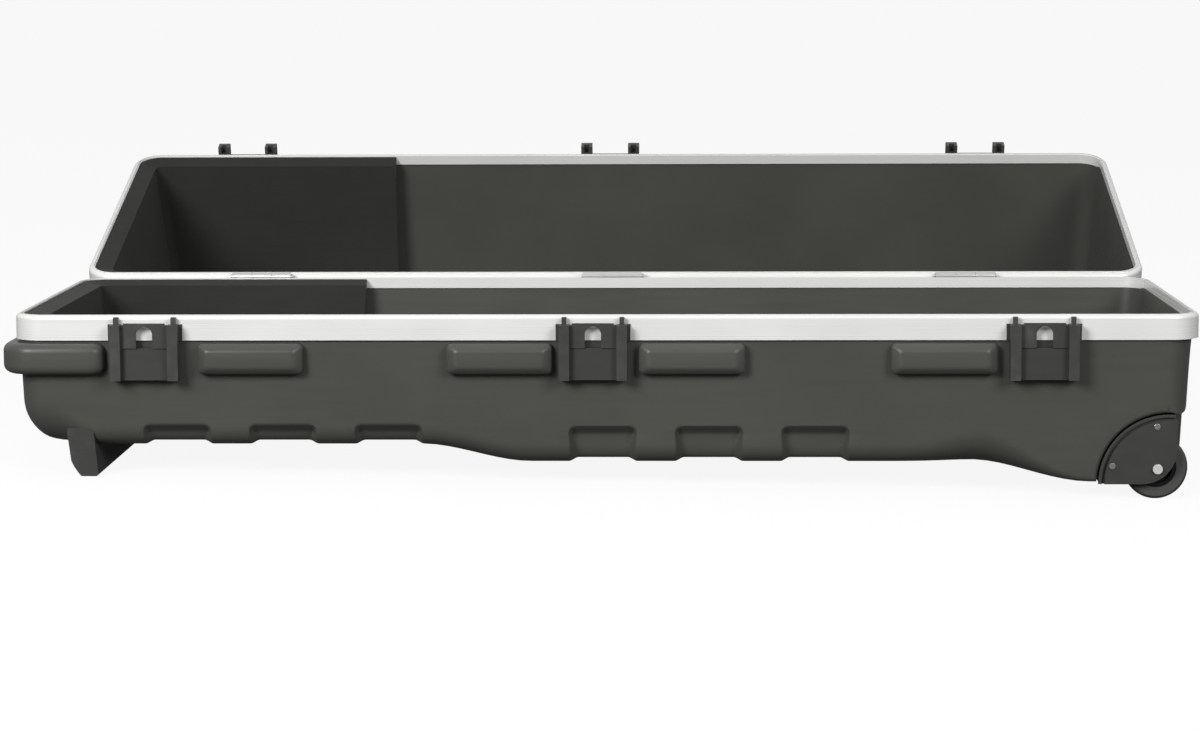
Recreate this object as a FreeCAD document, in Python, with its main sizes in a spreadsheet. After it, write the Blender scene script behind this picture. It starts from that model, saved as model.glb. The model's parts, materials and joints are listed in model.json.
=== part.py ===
import FreeCAD, Part
import Sketcher
import math
import os

from FreeCAD import Placement, Rotation, Vector

# A hard golf travel case, standing open on its foot, its two wheels and the edge of its lid.
# It is drawn closed: +X runs from the club-head end to the wheels, +Y from the latches to the
# hinges, +Z up, with the two rims meeting at Z = 0. The lid's pieces are then swung open and
# everything is moved so that the origin lies under the middle of the open case.

DIMENSIONS = {
    # rims
    "case_length": 1300, "station_length": 1300, "case_width": 430, "corner_radius": 35, "seam_gap": 0.6,
    "band_height": 28, "band_skin": 2, "band_round": 5, "rim_width": 8, "rim_head": 3.4,
    "lip_height": 12.5, "lip_thickness": 1.6,
    "tongue_inset": 5.5, "tongue_width": 1.2, "tongue_height": 1.5, "tongue_clearance": 0.35,
    # shells
    "shell_wall": 3.2, "shell_fit": 0.3, "wall_draft": 2.5, "bottom_round": 22,
    "base_head_depth": 146, "base_mid_depth": 165.5, "base_end_depth": 186,
    "lid_head_depth": 194, "lid_mid_depth": 211, "lid_end_depth": 224.5,
    "head_round": 42, "end_round": 40, "end_slope": 12,
    "first_ramp_start": -202, "first_ramp_end": -82,
    "second_ramp_start": 400, "second_ramp_end": 532,
    # moulded bumpers
    "bumper_length": 116, "bumper_top": 31, "bumper_bottom": 65, "bumper_depth": 15,
    "bumper_bevel": 7, "rear_bumper_depth": 8, "rear_bumper_bevel": 6, "bumper_root": 4,
    "bumper_backset": 2,
    "bumper_two": -387, "bumper_three": -114.5, "bumper_four": 96, "bumper_five": 370,
    "corner_bumper_reach": 116.5, "corner_bumper_proud": 12.5,
    "corner_bumper_bevel": 5,
    # flutes pressed into the bottom
    "flute_pitch": 116.5, "flute_length": 66, "flute_depth": 4,
    "head_flute_middle": -354, "mid_flute_middle": 114.5,
    # latches
    "latch_pitch": 490, "latch_middle": -12, "rail_spacing": 63, "rail_width": 11.5,
    "keeper_top": 10, "keeper_height": 61, "keeper_proud": 15, "keeper_plate_proud": 9,
    "keeper_plate_wall": 2.5, "keeper_flange": 2.5, "keeper_flange_wall": 1.6,
    "keeper_crown": 1.5,
    "nib_width": 5, "nib_height": 7.8, "nib_depth": 7,
    "keeper_screw_rise": 9, "keeper_screw_reach": 16, "seat_clearance": 0.2, "screw_head_height": 2,
    "window_width": 17.8, "window_height": 24, "window_top": 2, "keeper_step": 1.6,
    "guard_rail_width": 15, "guard_reach": 9.7, "guard_height": 62, "guard_slot": 7,
    "guard_wall": 2.5, "lever_gap": 0.8, "lever_side_gap": 1.2, "lever_length": 68, "lever_wall": 4.5,
    "lever_pin_height": 34, "pin_radius": 2.5, "pin_clearance": 0.05,
    "claw_width": 14, "claw_height": 5, "claw_depth": 3.4, "claw_thickness": 3.2, "stem_gap": 0.3,
    "lever_corner": 5, "lever_barrel_wall": 2.5, "lever_open_angle": 170, "tooth_wall": 2,
    "tooth_catch": 2, "trigger_corner": 3,
    "trigger_width": 20, "trigger_height": 18, "trigger_travel": 4, "trigger_wall": 3,
    # hinges
    "hinge_offset": 6, "hinge_pitch": 430, "hinge_width": 72, "hinge_leaf_height": 24,
    "hinge_leaf_wall": 2, "knuckle_radius": 5.4, "knuckle_gap": 0.3, "hinge_web": 7,
    "rivet_radius": 2.2, "rivet_head_radius": 3.8, "rivet_head_height": 1.6,
    # wheels
    "wheel_radius": 35, "wheel_width": 24, "wheel_inset": 20, "tyre_inner_radius": 22,
    "tyre_shoulder": 4, "tyre_crown": 3, "hub_recess": 1, "hub_rim": 4.2, "wheel_side_gap": 0.3,
    "spacer_wall": 2,
    "axle_inset": 45.5, "axle_depth": 171, "axle_radius": 3, "axle_clearance": 0.04,
    "bearing_radius": 9.5, "bearing_width": 6, "bearing_bore_lip": 6,
    "hub_boss_radius": 12, "hub_web": 8,
    "plate_radius": 70, "plate_inset": 33, "plate_drop": 17, "plate_lip": 8.7,
    "plate_face": 8, "plate_wall": 4.5, "plate_corner": 38, "housing_width": 46,
    "housing_wall": 4, "housing_rim": 8, "housing_reach": 4.5, "well_clearance": 8,
    "bolt_head_radius": 5.4, "bolt_head_height": 3,
    "cover_screw_radius": 1.8, "cover_screw_head": 3.4, "cover_screw_length": 12,
    "cover_screw_inset": 5, "cover_head_height": 1.2, "screw_clearance": 0.02,
    # foot
    "foot_inset": 57.4, "foot_width": 29.6, "foot_depth": 179.5, "foot_bottom_inset": 64,
    "foot_bottom_width": 28, "foot_overlap": 20, "foot_front": 8, "foot_round": 3,
    "foot_heel_round": 10,
    "foot_screw_depth": 15, "foot_screw_spread": 129,
    # foam liner
    "foam_end": -300, "foam_wall": 20, "foam_floor": 20, "foam_slope": 16, "foam_clearance": 0.6,
    "foam_drop": 1.5, "foam_bevel": 5.5, "foam_corner": 12,
    # handles
    "grip_length": 118, "grip_radius": 10, "bail_drop": 40, "bail_radius": 4,
    "bracket_width": 16, "bracket_height": 30, "bracket_proud": 15, "bracket_wall": 3,
    "bracket_boss_wall": 3, "bracket_gap": 1, "grip_end": 9, "wall_gap": 0.1,
    "carry_handle_height": 160, "pull_handle_depth": 52,
    # pose
    "lid_open_angle": 163.13,
}


class Size:
    """A length that carries both its spreadsheet expression and its value."""

    def __init__(self, text, value):
        self.text = text
        self.value = float(value)

    @staticmethod
    def of(other):
        return other if isinstance(other, Size) else Size(repr(float(other)), other)

    def joined(self, sign, other, value):
        return Size("(%s %s %s)" % (self.text, sign, other.text), value)

    def __add__(self, other):
        other = Size.of(other)
        return self.joined("+", other, self.value + other.value)

    def __sub__(self, other):
        other = Size.of(other)
        return self.joined("-", other, self.value - other.value)

    def __mul__(self, other):
        other = Size.of(other)
        return self.joined("*", other, self.value * other.value)

    def __truediv__(self, other):
        other = Size.of(other)
        return self.joined("/", other, self.value / other.value)

    def __radd__(self, other):
        return Size.of(other) + self

    def __rsub__(self, other):
        return Size.of(other) - self

    def __rmul__(self, other):
        return Size.of(other) * self

    def __neg__(self):
        return Size.of(0) - self

    def __float__(self):
        return self.value


class Sizes:
    """The driving dimensions, one attribute for each spreadsheet alias."""


doc = FreeCAD.newDocument("golf_travel_case")
sheet = doc.addObject("Spreadsheet::Sheet", "sizes")
for row, (alias, number) in enumerate(DIMENSIONS.items(), 1):
    sheet.set("A%d" % row, alias.replace("_", " "))
    sheet.set("B%d" % row, str(number))
    sheet.setAlias("B%d" % row, alias)
doc.recompute()
s = Sizes()
for alias in DIMENSIONS:
    setattr(s, alias, Size("sizes." + alias, sheet.get(alias)))

pieces = []          # (label, object, where it is placed)
half_gap = s.seam_gap / 2
half_length = s.case_length / 2
rear = s.case_width
hinge_y = rear + s.hinge_offset
draft = Size("tan(sizes.wall_draft * 1deg)", math.tan(math.radians(s.wall_draft.value)))
axle_x = half_length - s.axle_inset
plate_x = half_length - s.plate_inset
plate_bottom = s.axle_depth + s.plate_drop


def along(station):
    """A station, given on a case of the station length, on a case of this length."""
    return Size.of(station) * s.case_length / s.station_length


# ---------------------------------------------------------------- ways of making a solid

def bind(obj, prop, size):
    """Tie one property to the spreadsheet."""
    obj.setExpression(prop, Size.of(size).text)


def place(obj, x=0, y=0, z=0):
    """Tie an object's position to the spreadsheet."""
    for axis, size in (("x", x), ("y", y), ("z", z)):
        bind(obj, "Placement.Base." + axis, size)
    return obj


def box(x, y, z, dx, dy, dz):
    """A box from its lowest corner and its three sides."""
    solid = doc.addObject("Part::Box", "block")
    for prop, size in (("Length", dx), ("Width", dy), ("Height", dz)):
        bind(solid, prop, size)
    return place(solid, x, y, z)


TURNS = {"x": Rotation(Vector(0, 1, 0), 90), "y": Rotation(Vector(1, 0, 0), -90), "z": Rotation()}


def rod(axis, x, y, z, radius, length):
    """A cylinder that starts at a point and runs along +X, +Y or +Z."""
    solid = doc.addObject("Part::Cylinder", "rod")
    solid.Placement = Placement(Vector(), TURNS[axis])
    bind(solid, "Radius", radius)
    bind(solid, "Height", length)
    return place(solid, x, y, z)


def dome(axis, x, y, z, radius, small_radius, length):
    """A cone frustum that starts at a point and runs along +X, +Y or +Z."""
    solid = doc.addObject("Part::Cone", "dome")
    solid.Placement = Placement(Vector(), TURNS[axis])
    bind(solid, "Radius1", radius)
    bind(solid, "Radius2", small_radius)
    bind(solid, "Height", length)
    return place(solid, x, y, z)


def fuse(*solids):
    """One solid from several."""
    joined = doc.addObject("Part::MultiFuse", "joined")
    joined.Shapes = list(solids)
    joined.Refine = True
    return joined


def cut(solid, *tools):
    """A solid with others taken away from it."""
    trimmed = doc.addObject("Part::Cut", "trimmed")
    trimmed.Base = solid
    trimmed.Tool = tools[0] if len(tools) == 1 else fuse(*tools)
    return trimmed


def group(*solids):
    """Several separate solids in one object."""
    together = doc.addObject("Part::Compound", "group")
    together.Links = list(solids)
    return together


def feature(shape):
    """A solid made by Part's own functions."""
    solid = doc.addObject("Part::Feature", "formed")
    solid.Shape = shape
    return solid


PLANES = {"XY": ("XY_Plane", False), "XZ": ("XZ_Plane", True), "YZ": ("YZ_Plane", False)}


def prism(plane, outline, start, length, rounds=None, end_round=None, start_round=None):
    """A padded outline.

    outline holds (across, up) corners on the plane; rounds gives corner number: radius; the edges
    round the far or the near face can be rounded too. It starts at a distance from the plane.
    """
    body = doc.addObject("PartDesign::Body", "padded")
    role, backwards = PLANES[plane]
    sketch = body.newObject("Sketcher::SketchObject", "outline")
    support = [item for item in body.Origin.OriginFeatures if item.Role == role][0]
    sketch.AttachmentSupport = [(support, "")]
    sketch.MapMode = "FlatFace"
    corners = [(Size.of(across), Size.of(up)) for across, up in outline]
    points = [Vector(across.value, up.value, 0) for across, up in corners]
    count = len(points)
    for index in range(count):
        sketch.addGeometry(Part.LineSegment(points[index], points[(index + 1) % count]), False)
    for index in range(count):
        sketch.addConstraint(Sketcher.Constraint("Coincident", index, 2, (index + 1) % count, 1))
        for kind, name, size in (("DistanceX", "across", corners[index][0]),
                                 ("DistanceY", "up", corners[index][1])):
            number = sketch.addConstraint(
                Sketcher.Constraint(kind, -1, 1, index, 1, size.value))
            sketch.renameConstraint(number, "%s%d" % (name, index))
            sketch.setExpression("Constraints.%s%d" % (name, index), size.text)
    pad = body.newObject("PartDesign::Pad", "pad")
    pad.Profile = sketch
    pad.Reversed = backwards
    bind(pad, "Length", length)
    place(body, **{{"XY": "z", "XZ": "y", "YZ": "x"}[plane]: start})
    doc.recompute()
    along = {"XY": Vector(0, 0, 1), "XZ": Vector(0, 1, 0), "YZ": Vector(1, 0, 0)}[plane]
    top = pad
    for corner, radius in (rounds or {}).items():
        point = points[corner]
        spot = {"XY": Vector(point.x, point.y, 0), "XZ": Vector(point.x, 0, point.y),
                "YZ": Vector(0, point.x, point.y)}[plane]
        top = rounded(body, top, radius, lambda edge: on_corner(edge, spot, along))
    reach = Size.of(length).value
    if end_round is not None:
        top = rounded(body, top, end_round, lambda edge: on_level(edge, along, reach))
    if start_round is not None:
        top = rounded(body, top, start_round, lambda edge: on_level(edge, along, 0.0))
    return body


def on_corner(edge, spot, along):
    """Whether an edge runs along a direction through a point of the outline."""
    first, last = edge.Vertexes[0].Point, edge.Vertexes[-1].Point
    off = first - spot
    off -= along * off.dot(along)
    return off.Length < 0.01 and (last - first).Length > 0.01 and abs(
        (last - first).normalize().dot(along)) > 0.999


def on_level(edge, along, level):
    """Whether all of an edge lies at one distance along a direction."""
    return all(abs(vertex.Point.dot(along) - level) < 0.01 for vertex in edge.Vertexes)


def rounded(body, base, radius, chosen):
    """Round the chosen edges of a body's last feature."""
    names = ["Edge%d" % number for number, edge in enumerate(base.Shape.Edges, 1) if chosen(edge)]
    fillet = body.newObject("PartDesign::Fillet", "rounding")
    fillet.Base = (base, names)
    bind(fillet, "Radius", radius)
    body.Tip = fillet
    doc.recompute()
    return fillet


def keep(label, obj, where="base"):
    """Name a finished piece and say what it is placed with."""
    pieces.append((label, obj, where))
    return obj


# ---------------------------------------------------------------- rims

def rim_block(inset, low, height, end_round=None):
    """A rounded rectangle, the plan of the case less an inset, between two levels."""
    x = half_length - inset
    corners = [(-x, inset), (x, inset), (x, rear - inset), (-x, rear - inset)]
    radius = s.corner_radius - inset
    return prism("XY", corners, low, height, {0: radius, 1: radius, 2: radius, 3: radius}, end_round)


def on_side(sign, low, height):
    """The lowest level of a slab that lies a distance from the seam, above or below it."""
    return low if sign > 0 else -(low + height)


def rim_slab(sign, inset, low, height):
    """A rim block measured away from the seam, for the lid (+1) or the base (-1)."""
    return rim_block(inset, on_side(sign, low, height), height)


def make_valance(sign):
    """The rim extrusion of the lid (+1) or the base (-1)."""
    height = s.band_height - half_gap
    low = on_side(sign, half_gap, height)
    x = half_length
    corners = [(-x, 0), (x, 0), (x, rear), (-x, rear)]
    radius = s.corner_radius
    turned = {number: radius for number in range(4)}
    if sign < 0:
        outside = prism("XY", corners, low, height, turned, end_round=s.band_round)
    else:
        outside = prism("XY", corners, low, height, turned, start_round=s.band_round)
    head = half_gap + s.rim_head
    skirt_space = rim_slab(sign, s.band_skin, head, s.band_height)
    middle = rim_slab(sign, s.rim_width, 0, s.band_height * 2)
    lip_outside = rim_slab(sign, s.rim_width - s.lip_thickness, head - 1, s.lip_height - head + 1)
    ring = cut(fuse(cut(outside, skirt_space), lip_outside), middle)
    if sign > 0:
        tongue = cut(rim_slab(sign, s.tongue_inset, half_gap - s.tongue_height, s.tongue_height + 1),
                     rim_slab(sign, s.tongue_inset + s.tongue_width,
                              half_gap - s.tongue_height - 1, s.tongue_height + 3))
        return fuse(ring, tongue)
    gap = s.tongue_clearance
    groove = cut(rim_slab(sign, s.tongue_inset - gap, 0, half_gap + s.tongue_height + gap),
                 rim_slab(sign, s.tongue_inset + s.tongue_width + gap, -1, s.tongue_height * 4))
    return cut(ring, groove)


# ---------------------------------------------------------------- shells

def plan_wire(inset, z):
    """The rounded plan of the case at one level."""
    x, low, high = half_length.value - inset, inset, rear.value - inset
    radius = max(s.corner_radius.value - inset, s.foam_corner.value)
    face = Part.Face(Part.makePolygon([Vector(-x, low, 0), Vector(x, low, 0), Vector(x, high, 0),
                                       Vector(-x, high, 0), Vector(-x, low, 0)]))
    block = face.extrude(Vector(0, 0, 1))
    upright = [edge for edge in block.Edges if abs(edge.tangentAt(edge.FirstParameter).z) > 0.9]
    block = block.makeFillet(radius, upright)
    flat = [face for face in block.Faces if abs(face.CenterOfMass.z) < 1e-6][0]
    wire = flat.OuterWire.copy()
    wire.translate(Vector(0, 0, z))
    return wire


def side_wire(y, levels, inset, lift):
    """The side view of a shell at one distance from the latches, as (x, depth) turned to Z."""
    sign, head, middle, end = levels
    left = -half_length.value + inset
    right = half_length.value - inset
    slope = s.end_slope.value
    deep = [depth - inset - lift for depth in (head, middle, end)]
    near = s.head_round.value - inset
    far = s.end_round.value - inset
    diagonal = 1 - math.sqrt(0.5)

    def point(x, depth):
        return Vector(x, y, sign * depth)

    stations = [point(right - slope, deep[2] - far), point(right, 0), point(left, 0),
                point(left, deep[0] - near)]
    edges = [Part.LineSegment(stations[index], stations[index + 1]) for index in range(3)]
    edges.append(Part.Arc(stations[3], point(left + near * diagonal, deep[0] - near * diagonal),
                          point(left + near, deep[0])))
    run = [point(left + near, deep[0]),
           point(along(s.first_ramp_start).value, deep[0]),
           point(along(s.first_ramp_end).value, deep[1]),
           point(along(s.second_ramp_start).value, deep[1]),
           point(along(s.second_ramp_end).value, deep[2]),
           point(right - slope - far, deep[2])]
    edges += [Part.LineSegment(run[index], run[index + 1]) for index in range(5)]
    edges.append(Part.Arc(run[5], point(right - slope - far * diagonal, deep[2] - far * diagonal),
                          stations[0]))
    return Part.Wire([edge.toShape() for edge in edges])


def shell_form(levels, inset):
    """The solid form of half a case, drawn in from its outside by an inset."""
    sign, deepest = levels[0], max(levels[1:])
    outer = s.band_skin.value + s.shell_fit.value + inset
    top = half_gap.value + s.rim_head.value + s.shell_fit.value
    tray = Part.makeLoft([plan_wire(outer + draft.value * depth, sign * depth)
                          for depth in (0.0, deepest)], True, True)
    wall = outer + draft.value * deepest * 0.8
    radius = s.bottom_round.value - inset * 0.5
    steps = 4
    lifts = []
    for step in range(steps + 1):
        turn = math.radians(90.0 * step / steps)
        lifts.append((wall + radius * (1 - math.cos(turn)), radius * (1 - math.sin(turn))))
    near = [(-5.0, radius)] + lifts
    far = [(rear.value - y, lift) for y, lift in reversed(near)]
    bulk = Part.makeLoft([side_wire(y, levels, inset, lift) for y, lift in near + far], True, True)
    form = tray.common(bulk)
    high = Part.makeBox(2 * half_length.value, 2 * rear.value, deepest * 2,
                        Vector(-half_length.value, -rear.value / 2,
                               top if sign > 0 else -top - deepest * 2))
    return form.common(high)


def flutes(levels, inset):
    """The blocks that the transverse flutes take out of a shell's bottom."""
    sign, head, middle = levels[0], levels[1], levels[2]
    blocks = []
    for centre, level in ((s.head_flute_middle, head), (s.mid_flute_middle, middle)):
        for number in (-1, 0, 1):
            depth = s.flute_depth.value + inset
            length = along(s.flute_length).value + 2 * inset
            x = along(centre + number * s.flute_pitch).value - length / 2
            low = level - depth if sign > 0 else -level - 1
            blocks.append(Part.makeBox(length, rear.value + 10, depth + 1, Vector(x, -5, low)))
    return blocks


def bumper(x, length, sign, front):
    """A bevelled bumper moulded on the front or the rear wall of a shell."""
    depth = s.bumper_depth if front else s.rear_bumper_depth
    bevel = s.bumper_bevel if front else s.rear_bumper_bevel
    height = s.bumper_bottom - s.bumper_top
    low = on_side(sign, s.bumper_top, height)
    foot = prism_points(x, low, length, height, 0)
    face = prism_points(x, low, length, height, bevel.value)
    wall = (s.band_skin + s.shell_fit + s.bumper_root).value
    shoulder = (bevel - depth).value
    sections = [(wall, foot), (shoulder, foot), ((s.bumper_backset - depth).value, face)]
    if not front:
        sections = [(rear.value - y, wire) for y, wire in sections]
    return Part.makeLoft([outline_wire(points, y) for y, points in sections], True, True)


def prism_points(x, low, length, height, bevel):
    """The four corners of a bumper's outline, drawn in by a bevel."""
    x, low, length, height = (float(item) for item in (x, low, length, height))
    return [(x + bevel, low + bevel), (x + length - bevel, low + bevel),
            (x + length - bevel, low + height - bevel), (x + bevel, low + height - bevel)]


def outline_wire(points, y):
    """A closed outline in a plane across the case."""
    return Part.makePolygon([Vector(x, y, z) for x, z in points + points[:1]])


def corner_bumper(sign, front):
    """The bumper that wraps a corner at the club-head end."""
    reach, bevel = along(s.corner_bumper_reach).value, s.corner_bumper_bevel.value
    depth = ((s.bumper_depth if front else s.rear_bumper_depth) - s.bumper_backset).value
    height = (s.bumper_bottom - s.bumper_top).value
    low = float(on_side(sign, s.bumper_top, height))
    left = -half_length.value - s.corner_bumper_proud.value
    block = Part.makeBox(reach, reach, height, Vector(left, -depth, low))
    upright = [edge for edge in block.Edges
               if abs(edge.CenterOfMass.x - left) < 0.01 and abs(edge.CenterOfMass.y + depth) < 0.01]
    block = block.makeFillet(s.corner_radius.value, upright)
    block = block.makeChamfer(bevel, [edge for edge in block.Edges
                                      if abs(edge.CenterOfMass.z - low) < 0.01
                                      or abs(edge.CenterOfMass.z - low - height) < 0.01])
    if not front:
        block = block.mirror(Vector(0, rear.value / 2, 0), Vector(0, 1, 0))
    inside = (s.band_skin + s.shell_fit + s.bumper_root).value
    core = Part.Face(plan_wire(inside, low - 1)).extrude(Vector(0, 0, height + 2))
    return block.cut(core)


def well(front, growth):
    """The round recess that one wheel stands in."""
    length = 5 + (s.plate_face + s.plate_wall + s.housing_width + s.shell_fit).value + growth
    radius = (s.plate_radius + s.well_clearance).value + growth
    y = -5 if front else rear.value + 5 - length
    return Part.makeCylinder(radius, length, Vector(plate_x.value, y, -plate_bottom.value),
                             Vector(0, 1, 0))


def shell_levels(sign):
    """Which way a shell goes from the seam, and how deep it is at its head, middle and end."""
    if sign > 0:
        return (sign, s.lid_head_depth.value, s.lid_mid_depth.value, s.lid_end_depth.value)
    return (sign, s.base_head_depth.value, s.base_mid_depth.value, s.base_end_depth.value)


def make_shell(sign):
    """The moulded shell of the lid (+1) or the base (-1), with its bumpers and flutes."""
    wall = s.shell_wall.value
    levels = shell_levels(sign)
    ends = (True,) if sign > 0 else (True, False)
    outside = shell_form(levels, 0)
    inside = shell_form(levels, wall)
    for block in flutes(levels, 0):
        outside = outside.cut(block)
    for block in flutes(levels, wall):
        inside = inside.cut(block)
    if sign < 0:
        for front in (True, False):
            outside = outside.cut(well(front, 0))
            inside = inside.cut(well(front, wall))
    shell = outside.cut(inside)
    for front in ends:
        shell = shell.fuse(corner_bumper(sign, front))
        length = along(s.bumper_length).value
        for middle in (s.bumper_two, s.bumper_three, s.bumper_four, s.bumper_five):
            shell = shell.fuse(bumper(along(middle).value - length / 2, length, sign, front))
    return shell.removeSplitter(), outside


# ---------------------------------------------------------------- foam

def make_foam(sign, levels):
    """The foam liner at the club-head end: a block with a tapered hollow, open to the middle."""
    gap = s.foam_clearance.value
    depth = levels[1]
    inset = s.shell_wall.value + gap
    room = shell_form(levels, inset)
    for block in flutes(levels, inset):
        room = room.cut(block)
    edge = s.rim_width.value + gap
    rim = edge + s.foam_wall.value
    drop = s.foam_drop.value
    low = drop + s.foam_bevel.value
    floor = depth - inset - s.foam_floor.value
    outer = Part.Face(plan_wire(edge, sign * drop)).extrude(Vector(0, 0, sign * depth))
    skin = Part.Face(plan_wire(edge, sign * drop)).extrude(Vector(0, 0, sign * depth / 4))
    bevel = Part.makeLoft([plan_wire(edge + 0.05, sign * drop), plan_wire(rim, sign * low)], True, True)
    hollow = Part.makeLoft([plan_wire(rim, sign * low),
                            plan_wire(rim + s.foam_slope.value, sign * floor)], True, True)
    end = along(s.foam_end).value
    reach = half_length.value + end
    part = Part.makeBox(reach, 2 * rear.value, 4 * depth,
                        Vector(-half_length.value, -rear.value / 2, -2 * depth))
    ahead = Part.makeBox(reach, rear.value - 2 * (rim + s.foam_slope.value), floor - low,
                         Vector(end - reach / 2, rim + s.foam_slope.value,
                                low if sign > 0 else -floor))
    return room.fuse(skin).common(outer).common(part).cut(bevel).cut(hollow).cut(ahead)


# ---------------------------------------------------------------- latches

def latch_x(number):
    """The middle of one of the three latches."""
    return along(s.latch_middle + number * s.latch_pitch)


def keeper(number):
    """The catch on the base: two rails, a plate with an arched window and a lower panel."""
    x = latch_x(number)
    gap = s.seam_gap / 4
    rail_top = -s.keeper_top
    band = -(s.band_height + s.shell_fit)
    low = -(s.keeper_top + s.keeper_height)
    inner = s.rail_spacing / 2 - s.rail_width / 2
    step = -(s.keeper_top + s.window_top + s.window_height)
    back = s.band_skin + s.shell_fit + 1
    solids = []
    for side in (-1, 1):
        left = x + side * (s.rail_spacing / 2) - s.rail_width / 2
        solids.append(box(left, -s.keeper_proud, band, s.rail_width, s.keeper_proud - gap,
                          rail_top - band))
        solids.append(box(left, -s.keeper_proud, low, s.rail_width, s.keeper_proud + back,
                          band - low))
        middle = x + side * (s.rail_spacing / 2) - s.nib_width / 2
        solids.append(box(middle, -gap - s.nib_depth, rail_top - 1, s.nib_width, s.nib_depth,
                          s.nib_height + 1))
        flange = x + side * (s.rail_spacing / 2 + s.rail_width / 2 + s.keeper_flange / 2)
        solids.append(box(flange - s.keeper_flange / 2 - 1, -s.keeper_flange_wall - gap, band,
                          s.keeper_flange + 2, s.keeper_flange_wall, rail_top - band))
    plate = box(x - inner - 1, -s.keeper_plate_proud, step, 2 * inner + 2, s.keeper_plate_wall,
                rail_top - step)
    crown_half = s.rail_spacing / 2 - s.guard_rail_width / 2 - s.lever_side_gap
    crown = box(x - crown_half, -s.keeper_plate_proud, rail_top - 1, 2 * crown_half,
                s.keeper_plate_wall, s.keeper_crown + 1)
    panel = box(x - inner - 1, s.keeper_step - s.keeper_plate_proud, low, 2 * inner + 2,
                s.keeper_plate_proud - s.keeper_step + back, step - 2 - low)
    shelf = box(x - inner - 1, s.keeper_step - s.keeper_plate_proud, step - 2, 2 * inner + 2,
                s.keeper_plate_proud - s.keeper_step + back, 2)
    radius = s.window_width / 2
    arch = rod("y", x, -s.keeper_plate_proud - 1, rail_top - s.window_top - radius, radius,
               s.keeper_plate_wall + 2)
    window = box(x - radius, -s.keeper_plate_proud - 1, step, s.window_width,
                 s.keeper_plate_wall + 2, s.window_height - radius)
    return cut(fuse(*solids, plate, crown, panel, shelf), fuse(arch, window),
               *keeper_screw_holes(x))


def keeper_screw_spots(x):
    """Where the two screws of a keeper come through the shell."""
    height = s.keeper_screw_rise - s.keeper_top - s.keeper_height
    return [(x + side * s.keeper_screw_reach, height) for side in (-1, 1)]


def wall_face(depth):
    """How far inside the rim's face a shell's outer wall lies at a distance from the seam."""
    return s.band_skin + s.shell_fit + draft * depth


def keeper_screw_start():
    """Where a keeper's screws end, inside its lower panel."""
    return s.keeper_step - s.keeper_plate_proud + s.keeper_plate_wall


def keeper_screw_seat():
    """Where the heads of a keeper's screws bear on the inside of the shell."""
    low = s.keeper_top + s.keeper_height - s.keeper_screw_rise + s.cover_screw_head
    return wall_face(low) + s.shell_wall + s.seat_clearance


def keeper_screw_holes(x):
    """The holes for those screws, through the shell and into the keeper."""
    return [rod("y", across, keeper_screw_start() - 0.5, up, s.cover_screw_radius, s.corner_radius)
            for across, up in keeper_screw_spots(x)]


def keeper_screws():
    """The screws that hold the keepers, driven from inside the case."""
    seat, start = keeper_screw_seat(), keeper_screw_start()
    solids = []
    for number in (-1, 0, 1):
        for across, up in keeper_screw_spots(latch_x(number)):
            solids.append(screw("y", across, start, up, seat - start))
    return group(*solids)


def screw(axis, x, y, z, length):
    """A pan-head screw whose shank runs from a point to its head, along +Y or +Z."""
    seat = (x, y + length, z) if axis == "y" else (x, y, z + length)
    return fuse(rod(axis, x, y, z, s.cover_screw_radius - s.screw_clearance, length),
                dome(axis, *seat, s.cover_screw_head, s.cover_screw_head * 0.7, s.screw_head_height))


def pin_y():
    """How far out of the case the lever pin lies."""
    return -(s.keeper_plate_proud + s.lever_gap)


def guard(number):
    """The latch housing on the lid: a back plate and two rails that reach past the rim."""
    x = latch_x(number)
    gap = s.seam_gap / 4
    top = s.guard_height - s.guard_reach
    inner = s.rail_spacing / 2 - s.guard_rail_width / 2
    band = s.band_height + s.shell_fit
    back = s.band_skin + s.shell_fit + 1
    solids = [box(x - inner - 1, -s.guard_wall - gap, 1, 2 * inner + 2, s.guard_wall, top - 1)]
    slots = []
    for side in (-1, 1):
        left = x + side * (s.rail_spacing / 2) - s.guard_rail_width / 2
        solids.append(box(left, -s.keeper_proud, -s.guard_reach, s.guard_rail_width,
                          s.keeper_proud - gap, band + s.guard_reach))
        solids.append(box(left, -s.keeper_proud, band, s.guard_rail_width, s.keeper_proud + back,
                          top - band))
        slot = x + side * (s.rail_spacing / 2) - s.guard_slot / 2
        slots.append(box(slot, -gap - s.nib_depth - 1, -s.guard_reach - 1, s.guard_slot,
                         s.nib_depth + 2, s.guard_reach + 1))
    pin = rod("x", x - s.rail_spacing, pin_y(), s.lever_pin_height, s.pin_radius,
              2 * s.rail_spacing)
    return cut(fuse(*solids), pin, *slots)


def lever_pin(number):
    """The pin that a latch lever turns on."""
    half = s.rail_spacing / 2 + s.guard_rail_width / 2
    return rod("x", latch_x(number) - half, pin_y(), s.lever_pin_height, s.pin_radius, 2 * half)


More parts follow.
